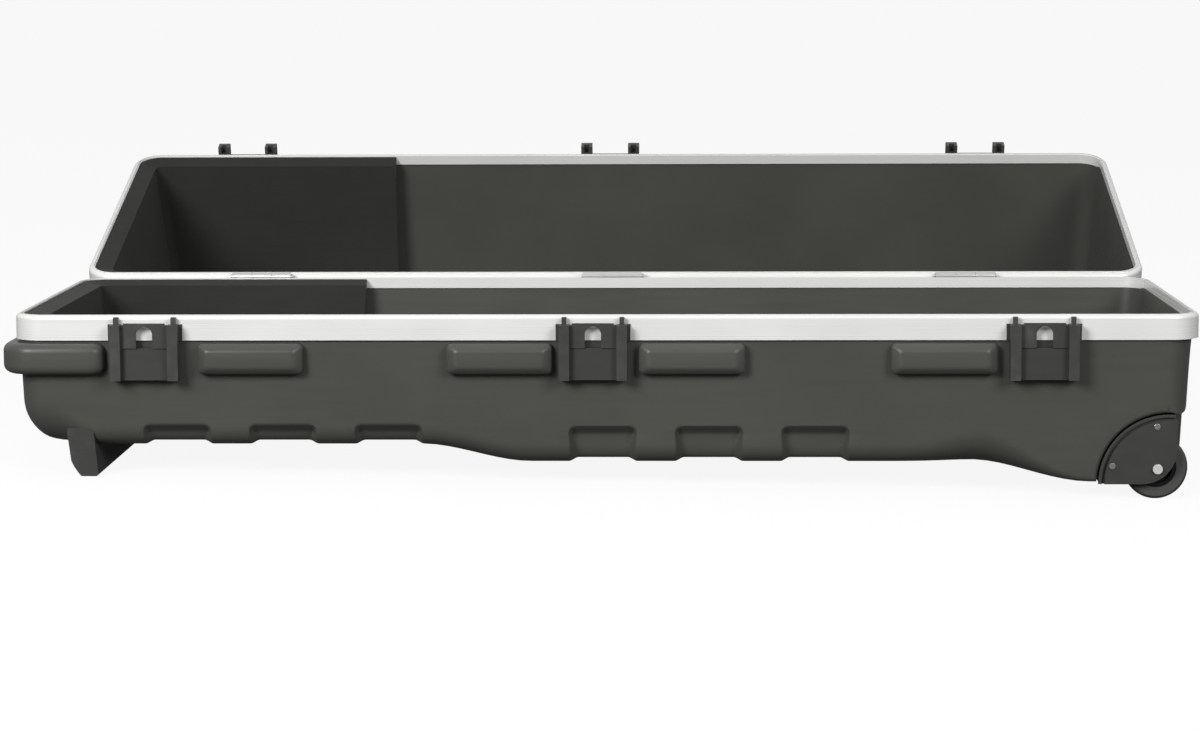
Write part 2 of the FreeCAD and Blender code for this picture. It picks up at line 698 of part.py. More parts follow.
def lever(number):
    """A latch lever: a plate on a barrel, with two prongs that catch the keeper's window."""
    x = latch_x(number)
    half = s.rail_spacing / 2 - s.guard_rail_width / 2 - s.lever_side_gap
    low = s.lever_pin_height - s.lever_length
    face = pin_y() - s.lever_wall
    barrel = s.pin_radius + s.lever_barrel_wall
    plate = prism("XZ", [(x - half, low), (x + half, low), (x + half, s.lever_pin_height),
                         (x - half, s.lever_pin_height)],
                  face, s.lever_wall, {0: s.lever_corner, 1: s.lever_corner})
    tube = rod("x", x - half, pin_y(), s.lever_pin_height, barrel, 2 * half)
    prongs = []
    top = -(s.keeper_top + s.window_top + s.window_width / 3)
    for side in (-1, 1):
        middle = x + side * (s.claw_width - s.claw_thickness) / 2
        prongs.append(box(middle - s.claw_thickness / 2, pin_y() - 1, top - s.claw_height,
                          s.claw_thickness, s.claw_depth + 1, s.claw_height))
    hole = rod("x", x - half - 1, pin_y(), s.lever_pin_height, s.pin_radius + s.pin_clearance,
               2 * half + 2)
    slot_half = stem_half() + s.stem_gap
    slot = box(x - slot_half, face - 1, stem_low() - s.trigger_travel - s.stem_gap, 2 * slot_half,
               s.lever_wall + 2, stem_height() + s.trigger_travel + 2 * s.stem_gap)
    return cut(fuse(plate, tube, *prongs), hole, slot)


def stem_half():
    """Half the width of a trigger's stem, which passes between the lever's prongs."""
    return s.claw_width / 2 - s.claw_thickness - 2 * s.stem_gap


def stem_low():
    """The lower end of a trigger's stem with the latch closed."""
    return -(s.keeper_top + s.window_top + s.window_width / 3 + s.claw_height + stem_height())


def stem_height():
    """The height of a trigger's stem."""
    return s.trigger_height / 3


def trigger(number):
    """The sliding trigger of a latch: a button outside, a tooth behind the keeper's window bar."""
    x = latch_x(number)
    face = pin_y() - s.lever_wall
    middle = stem_low() + stem_height() / 2
    low = middle - s.trigger_height / 2
    button = prism("XZ", [(x - s.trigger_width / 2, low), (x + s.trigger_width / 2, low),
                          (x + s.trigger_width / 2, low + s.trigger_height),
                          (x - s.trigger_width / 2, low + s.trigger_height)],
                   face - s.trigger_wall - s.wall_gap, s.trigger_wall,
                   {corner: s.trigger_corner for corner in range(4)})
    tooth_y = s.keeper_plate_wall - s.keeper_plate_proud + s.stem_gap
    stem = box(x - stem_half(), face - 1, stem_low(), 2 * stem_half(),
               tooth_y - face + 1 + s.tooth_wall, stem_height())
    tooth = box(x - stem_half(), tooth_y, stem_low(), 2 * stem_half(), s.tooth_wall,
                s.tooth_catch - s.keeper_top - s.window_top - stem_low())
    return fuse(button, stem, tooth)


# ---------------------------------------------------------------- hinges

def hinge_x(number):
    return along(number * s.hinge_pitch)


def knuckles(number, sign):
    """Where a leaf has its knuckles: two on the base leaf, one between them on the lid leaf."""
    x, third = hinge_x(number), s.hinge_width / 3
    if sign > 0:
        return [(x - third / 2 + s.knuckle_gap, third - 2 * s.knuckle_gap)]
    return [(x - 1.5 * third, third), (x + third / 2, third)]


def hinge_leaf(number, sign):
    """One leaf of a hinge, riveted to the back of its rim."""
    x = hinge_x(number)
    low = on_side(sign, s.hinge_web, s.hinge_leaf_height - s.hinge_web)
    solids = [box(x - s.hinge_width / 2, rear + s.wall_gap, low, s.hinge_width, s.hinge_leaf_wall,
                  s.hinge_leaf_height - s.hinge_web)]
    for start, length in knuckles(number, sign):
        solids.append(rod("x", start, hinge_y, 0, s.knuckle_radius, length))
        web = on_side(sign, 0, s.hinge_web + 1)
        solids.append(box(start, hinge_y - s.knuckle_radius, web, length, s.hinge_leaf_wall,
                          s.hinge_web + 1))
    pin = rod("x", x - s.hinge_width, hinge_y, 0, s.pin_radius + s.pin_clearance, 2 * s.hinge_width)
    return cut(fuse(*solids), pin, *[rod("y", across, rear - 5, up, s.rivet_radius, 20)
                                     for across, up in rivet_spots(number, sign)])


def rivet_spots(number, sign):
    """The three rivets of a leaf."""
    height = sign * (s.hinge_web / 2 + s.hinge_leaf_height / 2)
    return [(hinge_x(number) + side * s.hinge_width / 3, height) for side in (-1, 0, 1)]


def hinge_pin(number):
    """A hinge pin with a head at each end."""
    x = hinge_x(number)
    half = s.hinge_width / 2
    return fuse(rod("x", x - half - 0.3, hinge_y, 0, s.pin_radius, 2 * half + 0.6),
                rod("x", x - half - 1.8, hinge_y, 0, s.pin_radius + 1.2, 1.5),
                rod("x", x + half + 0.3, hinge_y, 0, s.pin_radius + 1.2, 1.5))


def rivets(sign):
    """The rivets that hold three leaves to a rim."""
    solids = []
    face = rear + s.wall_gap + s.hinge_leaf_wall
    for number in (-1, 0, 1):
        for across, up in rivet_spots(number, sign):
            solids.append(fuse(
                rod("y", across, rear - s.band_skin, up, s.rivet_radius - s.screw_clearance,
                    face - rear + s.band_skin),
                dome("y", across, face, up, s.rivet_head_radius, s.rivet_head_radius * 0.6,
                     s.rivet_head_height)))
    return group(*solids)


def rivet_holes(sign):
    """The holes for those rivets in a rim's outer band."""
    return [rod("y", across, rear - s.band_skin - 1, up, s.rivet_radius, s.band_skin + 2)
            for number in (-1, 0, 1) for across, up in rivet_spots(number, sign)]


# ---------------------------------------------------------------- wheels

def from_face(front, distance, length):
    """Where a length that lies a distance behind the front or the rear face starts."""
    return distance if front else rear - distance - length


def across_rod(front, distance, length, radius, x, z):
    """A cylinder along Y at a distance from the front or the rear face."""
    return rod("y", x, from_face(front, Size.of(distance), Size.of(length)), z, radius, length)


def axle(front, distance, length, radius):
    return across_rod(front, distance, length, radius, axle_x, -s.axle_depth)


def tyre(front):
    """A solid rubber tyre with rounded shoulders."""
    body = fuse(axle(front, s.wheel_inset + s.tyre_shoulder, s.wheel_width - 2 * s.tyre_shoulder,
                     s.wheel_radius), *shoulders(front))
    return cut(body, axle(front, s.wheel_inset - 1, s.wheel_width + 2, s.tyre_inner_radius))


def shoulders(front):
    """The two bevelled shoulders of a tyre."""
    near = from_face(front, s.wheel_inset, s.wheel_width)
    edge = s.wheel_radius - s.tyre_crown
    first = dome("y", axle_x, near, -s.axle_depth, edge, s.wheel_radius, s.tyre_shoulder)
    last = dome("y", axle_x, near + s.wheel_width - s.tyre_shoulder, -s.axle_depth,
                s.wheel_radius, edge, s.tyre_shoulder)
    return first, last


def hub(front):
    """A wheel hub: rim, web and a boss that holds two bearings."""
    inset, width = hub_span()
    rim = cut(axle(front, inset, width, s.tyre_inner_radius),
              axle(front, inset - 1, width + 2, s.tyre_inner_radius - s.hub_rim))
    web = axle(front, inset + width / 2 - s.hub_web / 2, s.hub_web,
               s.tyre_inner_radius - s.hub_rim / 2)
    boss = axle(front, inset, width, s.hub_boss_radius)
    bore = axle(front, inset - 1, width + 2, s.bearing_bore_lip)
    seats = [axle(front, inset - 1, s.bearing_width + 1, s.bearing_radius),
             axle(front, inset + width - s.bearing_width, s.bearing_width + 1, s.bearing_radius)]
    return cut(fuse(rim, web, boss), bore, *seats)


def hub_span():
    """Where a hub starts behind the face of the case, and how wide it is."""
    return s.wheel_inset + s.hub_recess, s.wheel_width - 2 * s.hub_recess


def bearings(front):
    """The two ball bearings of a wheel, drawn as plain rings."""
    inset, width = hub_span()
    hole = s.axle_radius + s.axle_clearance
    rings = []
    for start in (inset, inset + width - s.bearing_width):
        rings.append(cut(axle(front, start, s.bearing_width, s.bearing_radius),
                         axle(front, start - 1, s.bearing_width + 2, hole)))
    return group(*rings)


def housing_back():
    """How far behind the face of the case a wheel housing ends."""
    return s.plate_face + s.plate_wall + s.housing_width


def axle_bolt(front):
    """The bolt that a wheel turns on, with its head outside the side plate."""
    shank = axle(front, s.plate_face, housing_back() - s.plate_face - s.wheel_side_gap, s.axle_radius)
    head = axle(front, s.plate_face - s.bolt_head_height, s.bolt_head_height, s.bolt_head_radius)
    return fuse(shank, head)


def axle_spacers(front):
    """The sleeves that hold a wheel midway between its side plate and its housing."""
    start = s.plate_face + s.plate_wall
    inset, width = hub_span()
    near = inset - start - s.wheel_side_gap
    far = inset + width + s.wheel_side_gap
    hole = axle(front, start - 1, housing_back(), s.axle_radius)
    radius = s.axle_radius + s.spacer_wall
    sleeves = [axle(front, start, near, radius),
               axle(front, far, housing_back() - s.housing_wall - far, radius)]
    return group(*[cut(sleeve, hole) for sleeve in sleeves])


def plate_outline(inset, overhang):
    """The quarter disc of a side plate, drawn in at its arc and run past its straight edges."""
    left = plate_x - s.plate_radius + inset
    top = s.plate_radius - plate_bottom - inset
    right = plate_x + s.plate_lip + overhang
    bottom = -plate_bottom - overhang
    return [(left, bottom), (left, top), (right, top), (right, bottom)]


def side_plate(front):
    """The quarter-round plate outside a wheel."""
    start = from_face(front, s.plate_face, s.plate_wall)
    plate = prism("XZ", plate_outline(0, 0), start, s.plate_wall,
                  {1: s.plate_radius - 0.5, 3: s.plate_corner})
    return cut(plate, axle(front, 0, housing_back(), s.axle_radius), *cover_screw_holes(front))


def cover_screw_spots():
    """The two screws near a side plate's arc."""
    radius = s.plate_radius - s.cover_screw_inset
    spots = []
    for degrees in (102, 162):
        turn = math.radians(degrees)
        spots.append((plate_x + radius * math.cos(turn),
                      radius * math.sin(turn) - plate_bottom))
    return spots


def cover_screw_holes(front):
    """The holes for those screws, through a side plate and into its housing."""
    length = s.plate_face + s.plate_wall + s.cover_screw_length + 2
    return [across_rod(front, 0, length, s.cover_screw_radius, x, z)
            for x, z in cover_screw_spots()]


def cover_screws():
    """The screws of both side plates."""
    solids = []
    for front in (True, False):
        for x, z in cover_screw_spots():
            shank = across_rod(front, s.plate_face, s.plate_wall + s.cover_screw_length,
                               s.cover_screw_radius - s.screw_clearance, x, z)
            head = across_rod(front, s.plate_face - s.cover_head_height, s.cover_head_height,
                              s.cover_screw_head, x, z)
            solids.append(fuse(shank, head))
    return group(*solids)


def housing(front):
    """The moulded housing behind a side plate: a curved rim and an inner cheek."""
    depth = s.plate_face + s.plate_wall
    block = prism("XZ", plate_outline(-s.housing_reach, 0),
                  from_face(front, depth, s.housing_width), s.housing_width,
                  {1: s.plate_radius + s.housing_reach - 0.5, 3: s.plate_corner})
    room = s.housing_width - s.housing_wall
    hollow = prism("XZ", plate_outline(s.housing_rim, 30),
                   from_face(front, depth - 1, room + 1), room + 1,
                   {1: s.plate_radius - s.housing_rim})
    bore = axle(front, 0, 2 * housing_back(), s.axle_radius)
    return cut(block, hollow, bore, *cover_screw_holes(front))


# ---------------------------------------------------------------- foot and handles

def foot(outside):
    """The runner across the case under its club-head end, cut to sit on the shell."""
    length = rear - 2 * s.foot_front
    left = s.foot_inset - half_length
    heel = s.foot_bottom_inset - half_length
    top = s.foot_overlap - s.base_head_depth
    runner = prism("XZ", [(heel, -s.foot_depth), (heel + s.foot_bottom_width, -s.foot_depth),
                          (left + s.foot_width, top), (left, top)],
                   s.foot_front, length, {0: s.foot_heel_round, 1: s.foot_round})
    return cut(cut(runner, feature(outside)), *foot_screw_holes())


def foot_screw_spots():
    """Where the runner's screws stand."""
    middle = ((s.foot_inset + s.foot_bottom_inset) / 2 - half_length
              + (s.foot_width + s.foot_bottom_width) / 4)
    return [(middle, rear / 2 + side * s.foot_screw_spread) for side in (-1, 0, 1)]


def foot_screw_holes():
    """The holes for those screws, through the shell and into the runner."""
    return [rod("z", x, y, -s.base_head_depth - s.foot_screw_depth - 1, s.cover_screw_radius,
                s.foot_screw_depth * 2 + s.shell_wall)
            for x, y in foot_screw_spots()]


def foot_screws():
    """The screws that hold the runner, driven from inside the case."""
    start = -s.base_head_depth - s.foot_screw_depth
    return group(*[screw("z", x, y, start, s.foot_screw_depth + s.shell_wall)
                   for x, y in foot_screw_spots()])


def screw_head_pockets():
    """Room in the foam for the heads of the screws that lie behind it."""
    radius = s.cover_screw_head + s.foam_clearance
    seat = s.shell_wall - s.base_head_depth
    depth = s.screw_head_height + s.foam_clearance
    pockets = [rod("z", x, y, seat, radius, depth) for x, y in foot_screw_spots()]
    pockets += [rod("y", x, s.band_skin, z, radius, keeper_screw_seat() + depth - s.band_skin)
                for x, z in keeper_screw_spots(latch_x(-1))]
    return pockets


def handle_reach():
    """How far from the wall a handle's pivot lies."""
    return s.bracket_proud - s.bracket_boss_wall


def handle_pieces():
    """A drop handle about its own pivot: +X along the pivot, -Y out of the wall, hanging down."""
    half = s.grip_length / 2
    reach = handle_reach()
    boss_half = s.bail_radius + s.bracket_boss_wall
    bar = rod("x", -half, 0, -s.bail_drop, s.bail_radius, s.grip_length)
    legs = [rod("z", side * half, 0, -s.bail_drop, s.bail_radius, s.bail_drop) for side in (-1, 1)]
    ends = [rod("x", -half - s.bracket_width, 0, 0, s.bail_radius, s.bracket_width),
            rod("x", half, 0, 0, s.bail_radius, s.bracket_width)]
    corners = [bend_ball(side * half, 0, height) for side in (-1, 1) for height in (0, -s.bail_drop)]
    bail = fuse(bar, *legs, *ends, *corners)
    grip = cut(rod("x", s.grip_end - half, 0, -s.bail_drop, s.grip_radius,
                   s.grip_length - 2 * s.grip_end),
               rod("x", -half, 0, -s.bail_drop, s.bail_radius, s.grip_length))
    brackets = []
    for side in (-1, 1):
        near = half + s.bail_radius + s.bracket_gap
        x = near if side > 0 else -near - s.bracket_width
        foot_plate = box(x, reach - s.bracket_wall, -s.bracket_height / 2, s.bracket_width,
                         s.bracket_wall, s.bracket_height)
        boss = box(x, -boss_half, -boss_half, s.bracket_width, reach + boss_half, 2 * boss_half)
        hole = rod("x", x - 1, 0, 0, s.bail_radius + s.pin_clearance, s.bracket_width + 2)
        brackets.append(cut(fuse(foot_plate, boss), hole))
    return bail, grip, group(*brackets)


def bend_ball(x, y, z):
    """The round bend of a bail."""
    ball = doc.addObject("Part::Sphere", "bend")
    bind(ball, "Radius", s.bail_radius)
    return place(ball, x, y, z)


# ---------------------------------------------------------------- the whole case

NAMES = {-1: "left", 0: "middle", 1: "right"}
ENDS = {True: "front", False: "rear"}

base_shell, base_outside = make_shell(-1)
lid_shell, lid_outside = make_shell(1)
keeper_cutters = [hole for number in (-1, 0, 1) for hole in keeper_screw_holes(latch_x(number))]
keep("base_shell", cut(feature(base_shell), *keeper_cutters, *foot_screw_holes()))
keep("lid_shell", feature(lid_shell), "lid")
keep("base_valance", cut(make_valance(-1), *rivet_holes(-1)))
keep("lid_valance", cut(make_valance(1), *rivet_holes(1)), "lid")
keep("base_foam_liner", cut(feature(make_foam(-1, shell_levels(-1))), *screw_head_pockets()))
keep("lid_foam_liner", feature(make_foam(1, shell_levels(1))), "lid")
keep("foot_runner", foot(base_outside))
keep("foot_screws", foot_screws())
keep("keeper_screws", keeper_screws())
for number, name in NAMES.items():
    keep("latch_keeper_" + name, keeper(number))
    keep("latch_guard_" + name, guard(number), "lid")
    keep("latch_pin_" + name, lever_pin(number), "lid")
    keep("latch_lever_" + name, lever(number), "lever")
    keep("latch_trigger_" + name, trigger(number), "lever")
    keep("hinge_base_leaf_" + name, hinge_leaf(number, -1))
    keep("hinge_lid_leaf_" + name, hinge_leaf(number, 1), "lid")
    keep("hinge_pin_" + name, hinge_pin(number))
keep("hinge_base_rivets", rivets(-1))
keep("hinge_lid_rivets", rivets(1), "lid")
for front, name in ENDS.items():
    keep("wheel_tyre_" + name, tyre(front))
    keep("wheel_hub_" + name, hub(front))
    keep("wheel_bearings_" + name, bearings(front))
    keep("wheel_axle_bolt_" + name, axle_bolt(front))
    keep("wheel_spacers_" + name, axle_spacers(front))
    keep("wheel_side_plate_" + name, side_plate(front))
    keep("wheel_housing_" + name, housing(front))
keep("side_plate_screws", cover_screws())
for name, where in (("carry_handle", "carry"), ("pull_handle", "pull")):
    bail, grip, brackets = handle_pieces()
    keep(name + "_bail", bail, where)
    keep(name + "_grip", grip, where)
    keep(name + "_brackets", brackets, where)
doc.recompute()

# ---------------------------------------------------------------- the open pose

lid_turn = Placement(Vector(), Rotation(Vector(1, 0, 0), -s.lid_open_angle.value),
                     Vector(0, hinge_y.value, 0))
pin_point = Vector(0, pin_y().value, s.lever_pin_height.value)
lever_turn = Placement(Vector(), Rotation(Vector(1, 0, 0), -s.lever_open_angle.value),
                       pin_point)
carry_y = wall_face(s.carry_handle_height - s.bracket_height / 2) - s.wall_gap - handle_reach()
carry_point = Vector(latch_x(0).value, carry_y.value, s.carry_handle_height.value)
pull_x = wall_face(s.pull_handle_depth - s.bracket_height / 2) - s.wall_gap - handle_reach()
pull_point = Vector(pull_x.value - half_length.value, rear.value / 2, -s.pull_handle_depth.value)
PLACES = {
    "base": Placement(),
    "lid": lid_turn,
    "lever": lid_turn * lever_turn,
    "carry": lid_turn * Placement(carry_point, Rotation()),
    "pull": Placement(pull_point, Rotation(Vector(0, 0, 1), -90)),
}

finished = {}
for label, obj, where in pieces:
    piece = doc.addObject("Part::Compound", label)
    piece.Label = label
    piece.Links = [obj]
    piece.Placement = PLACES[where]
    finished[label] = (piece, PLACES[where])
doc.recompute()


def refuse_failed():
    """Stop if any object failed or any finished piece is not a valid solid."""
    failed = [obj.Name + " (" + obj.Label + ")" for obj in doc.Objects
              if "Invalid" in obj.State or "Error" in obj.State]
    failed += [label for label, (piece, turn) in finished.items()
               if piece.Shape.isNull() or not piece.Shape.isValid() or not piece.Shape.Solids]
    if failed:
        raise RuntimeError("these failed: " + ", ".join(failed))


refuse_failed()
whole = FreeCAD.BoundBox()
for piece, turn in finished.values():
    whole.add(piece.Shape.optimalBoundingBox(False))
origin = Vector(whole.Center.x, whole.Center.y, whole.ZMin)
for piece, turn in finished.values():
    piece.Placement = Placement(-origin, Rotation()) * turn
doc.recompute()

# ---------------------------------------------------------------- checks and files

refuse_failed()
os.makedirs("parts", exist_ok=True)
for label, (piece, turn) in finished.items():
    piece.Shape.exportStep("parts/%s.step" % label)
print("%d pieces, box %.1f x %.1f x %.1f mm" % (len(finished), whole.XLength, whole.YLength,
                                                whole.ZLength))
print("origin at", origin)
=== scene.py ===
"""Looks for a hard golf travel case that stands open on its foot, its two wheels and its lid.

Every length is in metres. The case is modelled closed, in its own coordinates: X from the middle
of the rims towards the wheels, Y from the latch face towards the hinges, Z up from the seam. Each
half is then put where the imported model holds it.
"""

from __future__ import annotations

import json
import logging
from collections.abc import Iterable, Sequence
from dataclasses import dataclass
from enum import Enum
from math import (
    asin, atan2, ceil, copysign, cos, exp, hypot, pi, radians, sin, sqrt, tan, tau
)
from typing import ClassVar

import bmesh
import bpy
from bmesh.types import BMEdge, BMesh, BMFace, BMVert
from bpy.types import Material, Node, NodeSocket, NodeTree, Object
from mathutils import Matrix, Vector


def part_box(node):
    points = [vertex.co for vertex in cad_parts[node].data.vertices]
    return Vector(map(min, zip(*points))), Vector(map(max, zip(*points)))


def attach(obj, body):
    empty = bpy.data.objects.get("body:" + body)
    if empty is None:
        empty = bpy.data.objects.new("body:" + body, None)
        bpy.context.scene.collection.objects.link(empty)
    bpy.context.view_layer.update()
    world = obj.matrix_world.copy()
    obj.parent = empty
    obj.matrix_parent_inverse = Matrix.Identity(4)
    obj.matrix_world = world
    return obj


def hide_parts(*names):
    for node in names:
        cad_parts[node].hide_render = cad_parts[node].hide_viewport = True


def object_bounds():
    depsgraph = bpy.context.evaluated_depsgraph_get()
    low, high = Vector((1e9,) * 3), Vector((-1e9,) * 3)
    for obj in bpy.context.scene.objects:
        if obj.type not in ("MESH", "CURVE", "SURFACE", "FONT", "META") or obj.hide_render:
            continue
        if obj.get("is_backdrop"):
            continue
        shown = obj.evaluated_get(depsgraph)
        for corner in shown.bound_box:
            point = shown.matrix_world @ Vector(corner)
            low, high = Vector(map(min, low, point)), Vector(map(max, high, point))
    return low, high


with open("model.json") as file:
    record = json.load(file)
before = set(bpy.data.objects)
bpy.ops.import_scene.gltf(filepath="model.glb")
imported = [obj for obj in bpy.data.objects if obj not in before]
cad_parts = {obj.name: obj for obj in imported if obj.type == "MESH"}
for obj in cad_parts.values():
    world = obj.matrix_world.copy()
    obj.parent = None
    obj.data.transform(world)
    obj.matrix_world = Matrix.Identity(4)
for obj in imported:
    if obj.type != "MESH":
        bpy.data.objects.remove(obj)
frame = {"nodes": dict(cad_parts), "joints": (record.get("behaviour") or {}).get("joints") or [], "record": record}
CAD_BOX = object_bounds()
LOG = logging.getLogger("golf_travel_case")
MM = 0.001
WELD = 0.01 * MM
LEAST_STEP = 0.15 * MM
SEAM_GAP = 0.3 * MM
AXLE = (0, 1, 0)
WHITE = (1, 1, 1, 1)
Pair = tuple[float, float]
Triple = tuple[float, float, float]
Rounding = tuple[float, int]
Values = dict[object, object]
SIDES = ("left", "middle", "right")
ENDS = ("front", "rear")
BODY_OF = {
    node: body
    for body, nodes in frame["record"]["behaviour"]["bodies"].items()
    for node in nodes
}


class Half(Enum):
    """The two halves of the case, by which way they go from the seam."""

    BASE = -1
    LID = 1


@dataclass(frozen=True)
class CasePlan:
    """Where the closed case lies in the row frame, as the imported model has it."""

    length: float
    width: float
    corner: Vector
    hinge: Vector
    lid_angle: float
    wall_inset: float = 2.3 * MM
    draft: float = tan(radians(2.5))
    wheel_inset: float = 33 * MM
    wheel_drop: float = 188 * MM

    @classmethod
    def measured(cls) -> CasePlan:
        """Read the plan from the rim and the lid's hinge.

        Returns:
            The plan of the case.
        """
        low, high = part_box("base_valance")
        lid = next(joint for joint in frame["joints"] if joint["name"] == "lid_hinge")
        corner = Vector(((low.x + high.x) / 2, low.y, high.z + SEAM_GAP))
        angle = radians(lid["range_deg"][1])
        return cls(high.x - low.x, high.y - low.y, corner, Vector(lid["pos_m"]), angle)

    def placed(self, half: Half) -> Matrix:
        """The move from the closed case's coordinates to the row frame.

        Args:
            half: The half that is moved.

        Returns:
            A rigid move.
        """
        closed = Matrix.Translation(self.corner)
        if half is Half.BASE:
            return closed
        swing = Matrix.Rotation(-self.lid_angle, 4, "X")
        return Matrix.Translation(self.hinge) @ swing @ Matrix.Translation(-self.hinge) @ closed

    def wheel_station(self) -> float:
        """The station of the axles."""
        return self.length / 2 - self.wheel_inset

    def wheel(self) -> Vector:
        """The point on the front axle in the latch side's plane."""
        return Vector((self.wheel_station(), 0, -self.wheel_drop))

    def sided(self, bm: BMesh, front: bool) -> BMesh:
        """Keep a shape on the latch side or mirror it to the other, with its faces outwards.

        Args:
            bm: The shape, made for the latch side.
            front: Whether it stays there.

        Returns:
            The shape.
        """
        if not front:
            flip = Matrix.Scale(-1, 4, AXLE)
            shift = Matrix.Translation((0, self.width, 0))
            bmesh.ops.transform(bm, matrix=shift @ flip, verts=bm.verts)
        return outward(bm)


# ---- materials


@dataclass(frozen=True)
class Nodes:
    """Short ways to add and join shader nodes in one tree."""

    tree: NodeTree

    def add(self, kind: str, values: Values | None = None, **settings: object) -> Node:
        """Add a node.

        Args:
            kind: The node's type name.
            values: What its inputs get.
            settings: Its properties.

        Returns:
            The new node.
        """
        node = self.tree.nodes.new(kind)
        for name, value in settings.items():
            setattr(node, name, value)
        self.fill(node, values or {})
        return node

    def fill(self, node: Node, values: Values) -> None:
        """Give a node's inputs their values.

        Args:
            node: The node.
            values: A socket or a plain value for each input, by its name or number.
        """
        for name, value in values.items():
            if isinstance(value, NodeSocket):
                self.tree.links.new(value, node.inputs[name])
            else:
                node.inputs[name].default_value = value

    def maths(self, operation: str, first: object, second: object) -> NodeSocket:
        """A sum of two values, each a socket or a number."""
        values = {0: first, 1: second}
        return self.add("ShaderNodeMath", values, operation=operation).outputs[0]

    def stretched(self, place: NodeSocket, stretch: Triple) -> NodeSocket:
        """A position that is scaled along each axis."""
        return self.add("ShaderNodeMapping", {"Vector": place, "Scale": stretch}).outputs[0]

    def noise(self, place: NodeSocket, scale: object, detail: float) -> NodeSocket:
        """Noise over a position; its scale is a socket or a number."""
        values = {"Vector": place, "Scale": scale, "Detail": detail}
        return self.add("ShaderNodeTexNoise", values).outputs["Fac"]

    def spread(
        self, value: NodeSocket, low: float, high: float, start: float = 0.0, end: float = 1.0
    ) -> NodeSocket:
        """A value whose range from low to high becomes the one from start to end, clamped."""
        values = {"Value": value, "From Min": low, "From Max": high, "To Min": start, "To Max": end}
        return self.add("ShaderNodeMapRange", values).outputs["Result"]

    def mix(self, low: object, high: object, factor: NodeSocket) -> NodeSocket:
        """Two colours, each a socket or plain, mixed by a factor."""
        values = {"A": low, "B": high, "Factor": factor}
        return self.add("ShaderNodeMix", values, data_type="RGBA").outputs["Result"]

    def bump(self, height: NodeSocket, strength: float, distance: float) -> NodeSocket:
        """A height from 0 to 1 as a normal; the distance is what 1 stands for."""
        values = {"Height": height, "Strength": strength, "Distance": distance}
        return self.add("ShaderNodeBump", values).outputs["Normal"]

    def background_rays(self, seen: float, mirrored: float) -> NodeSocket:
        """Pick out the rays that show the background.

        Args:
            seen: The value for a ray from the camera, straight or through glass.
            mirrored: The value for a ray that comes off gloss.

        Returns:
            The value, 0 for any other ray.
        """
        path = self.add("ShaderNodeLightPath").outputs
        straight = self.maths("MAXIMUM", path["Is Camera Ray"], path["Is Transmission Ray"])
        gloss = self.maths("MULTIPLY", path["Is Glossy Ray"], mirrored)
        return self.maths("MAXIMUM", self.maths("MULTIPLY", straight, seen), gloss)


def moulded_effect() -> NodeTree:
    """Build the group that every moulded finish shares, once.

    It gives broad tone changes, the height of a fine moulded grain, the drag marks of the tool and
    scuffs on raised edges.

    Returns:
        The group.
    """
    name = "moulded_surface"
    group = bpy.data.node_groups.get(name)
    if group is not None:
        return group
    group = bpy.data.node_groups.new(name, "ShaderNodeTree")
    sockets = {"INPUT": ("Grain scale", "Wear"), "OUTPUT": ("Tone", "Height", "Streak", "Edge")}
    for way, labels in sockets.items():
        for label in labels:
            group.interface.new_socket(label, in_out=way, socket_type="NodeSocketFloat")
    nodes = Nodes(group)
    given, result = nodes.add("NodeGroupInput"), nodes.add("NodeGroupOutput")
    place = nodes.add("ShaderNodeTexCoord").outputs["Object"]
    fine = nodes.noise(place, given.outputs["Grain scale"], 3.0)
    drag = nodes.noise(nodes.stretched(place, (0.06, 1.0, 1.0)), 220.0, 2.0)
    grain = nodes.maths("MULTIPLY", fine, 0.75)
    pointy = nodes.add("ShaderNodeNewGeometry").outputs["Pointiness"]
    worn = nodes.maths("MULTIPLY", nodes.spread(pointy, 0.52, 0.60), given.outputs["Wear"])
    patches = nodes.spread(nodes.noise(place, 60.0, 4.0), 0.4, 0.7, 0.2, 1.0)
    nodes.fill(result, {
        "Tone": nodes.noise(place, 6.0, 3.0),
        "Height": nodes.maths("ADD", grain, nodes.maths("MULTIPLY", drag, 0.25)),
        "Streak": nodes.spread(drag, 0.3, 0.7, -1.0, 1.0),
        "Edge": nodes.maths("MULTIPLY", worn, patches),
    })
    return group


@dataclass(frozen=True)
class Surface:
    """What every finish has: a name, a colour and a roughness."""

    name: str
    colour: Triple
    roughness: float
    rough_spread: ClassVar[float] = 0.0

    def material(self) -> Material:
        """Make the material once.

        Returns:
            The material.
        """
        made = bpy.data.materials.get(self.name)
        if made is None:
            made = bpy.data.materials.new(self.name)
            made.use_nodes = True
            self.dress(Nodes(made.node_tree), made.node_tree.nodes["Principled BSDF"])
        return made

    def dress(self, nodes: Nodes, shader: Node) -> None:
        """Join the finish's pattern to its shader; each kind of finish has its own."""
        raise NotImplementedError

    def shade(self, factor: float = 1.0, added: float = 0.0) -> tuple[float, ...]:
        """The opaque colour, made lighter or darker."""
        return (*[min(1.0, part * factor + added) for part in self.colour], 1.0)

    def rough_range(self) -> Pair:
        """The least and the greatest roughness."""
        return self.roughness - self.rough_spread, self.roughness + self.rough_spread


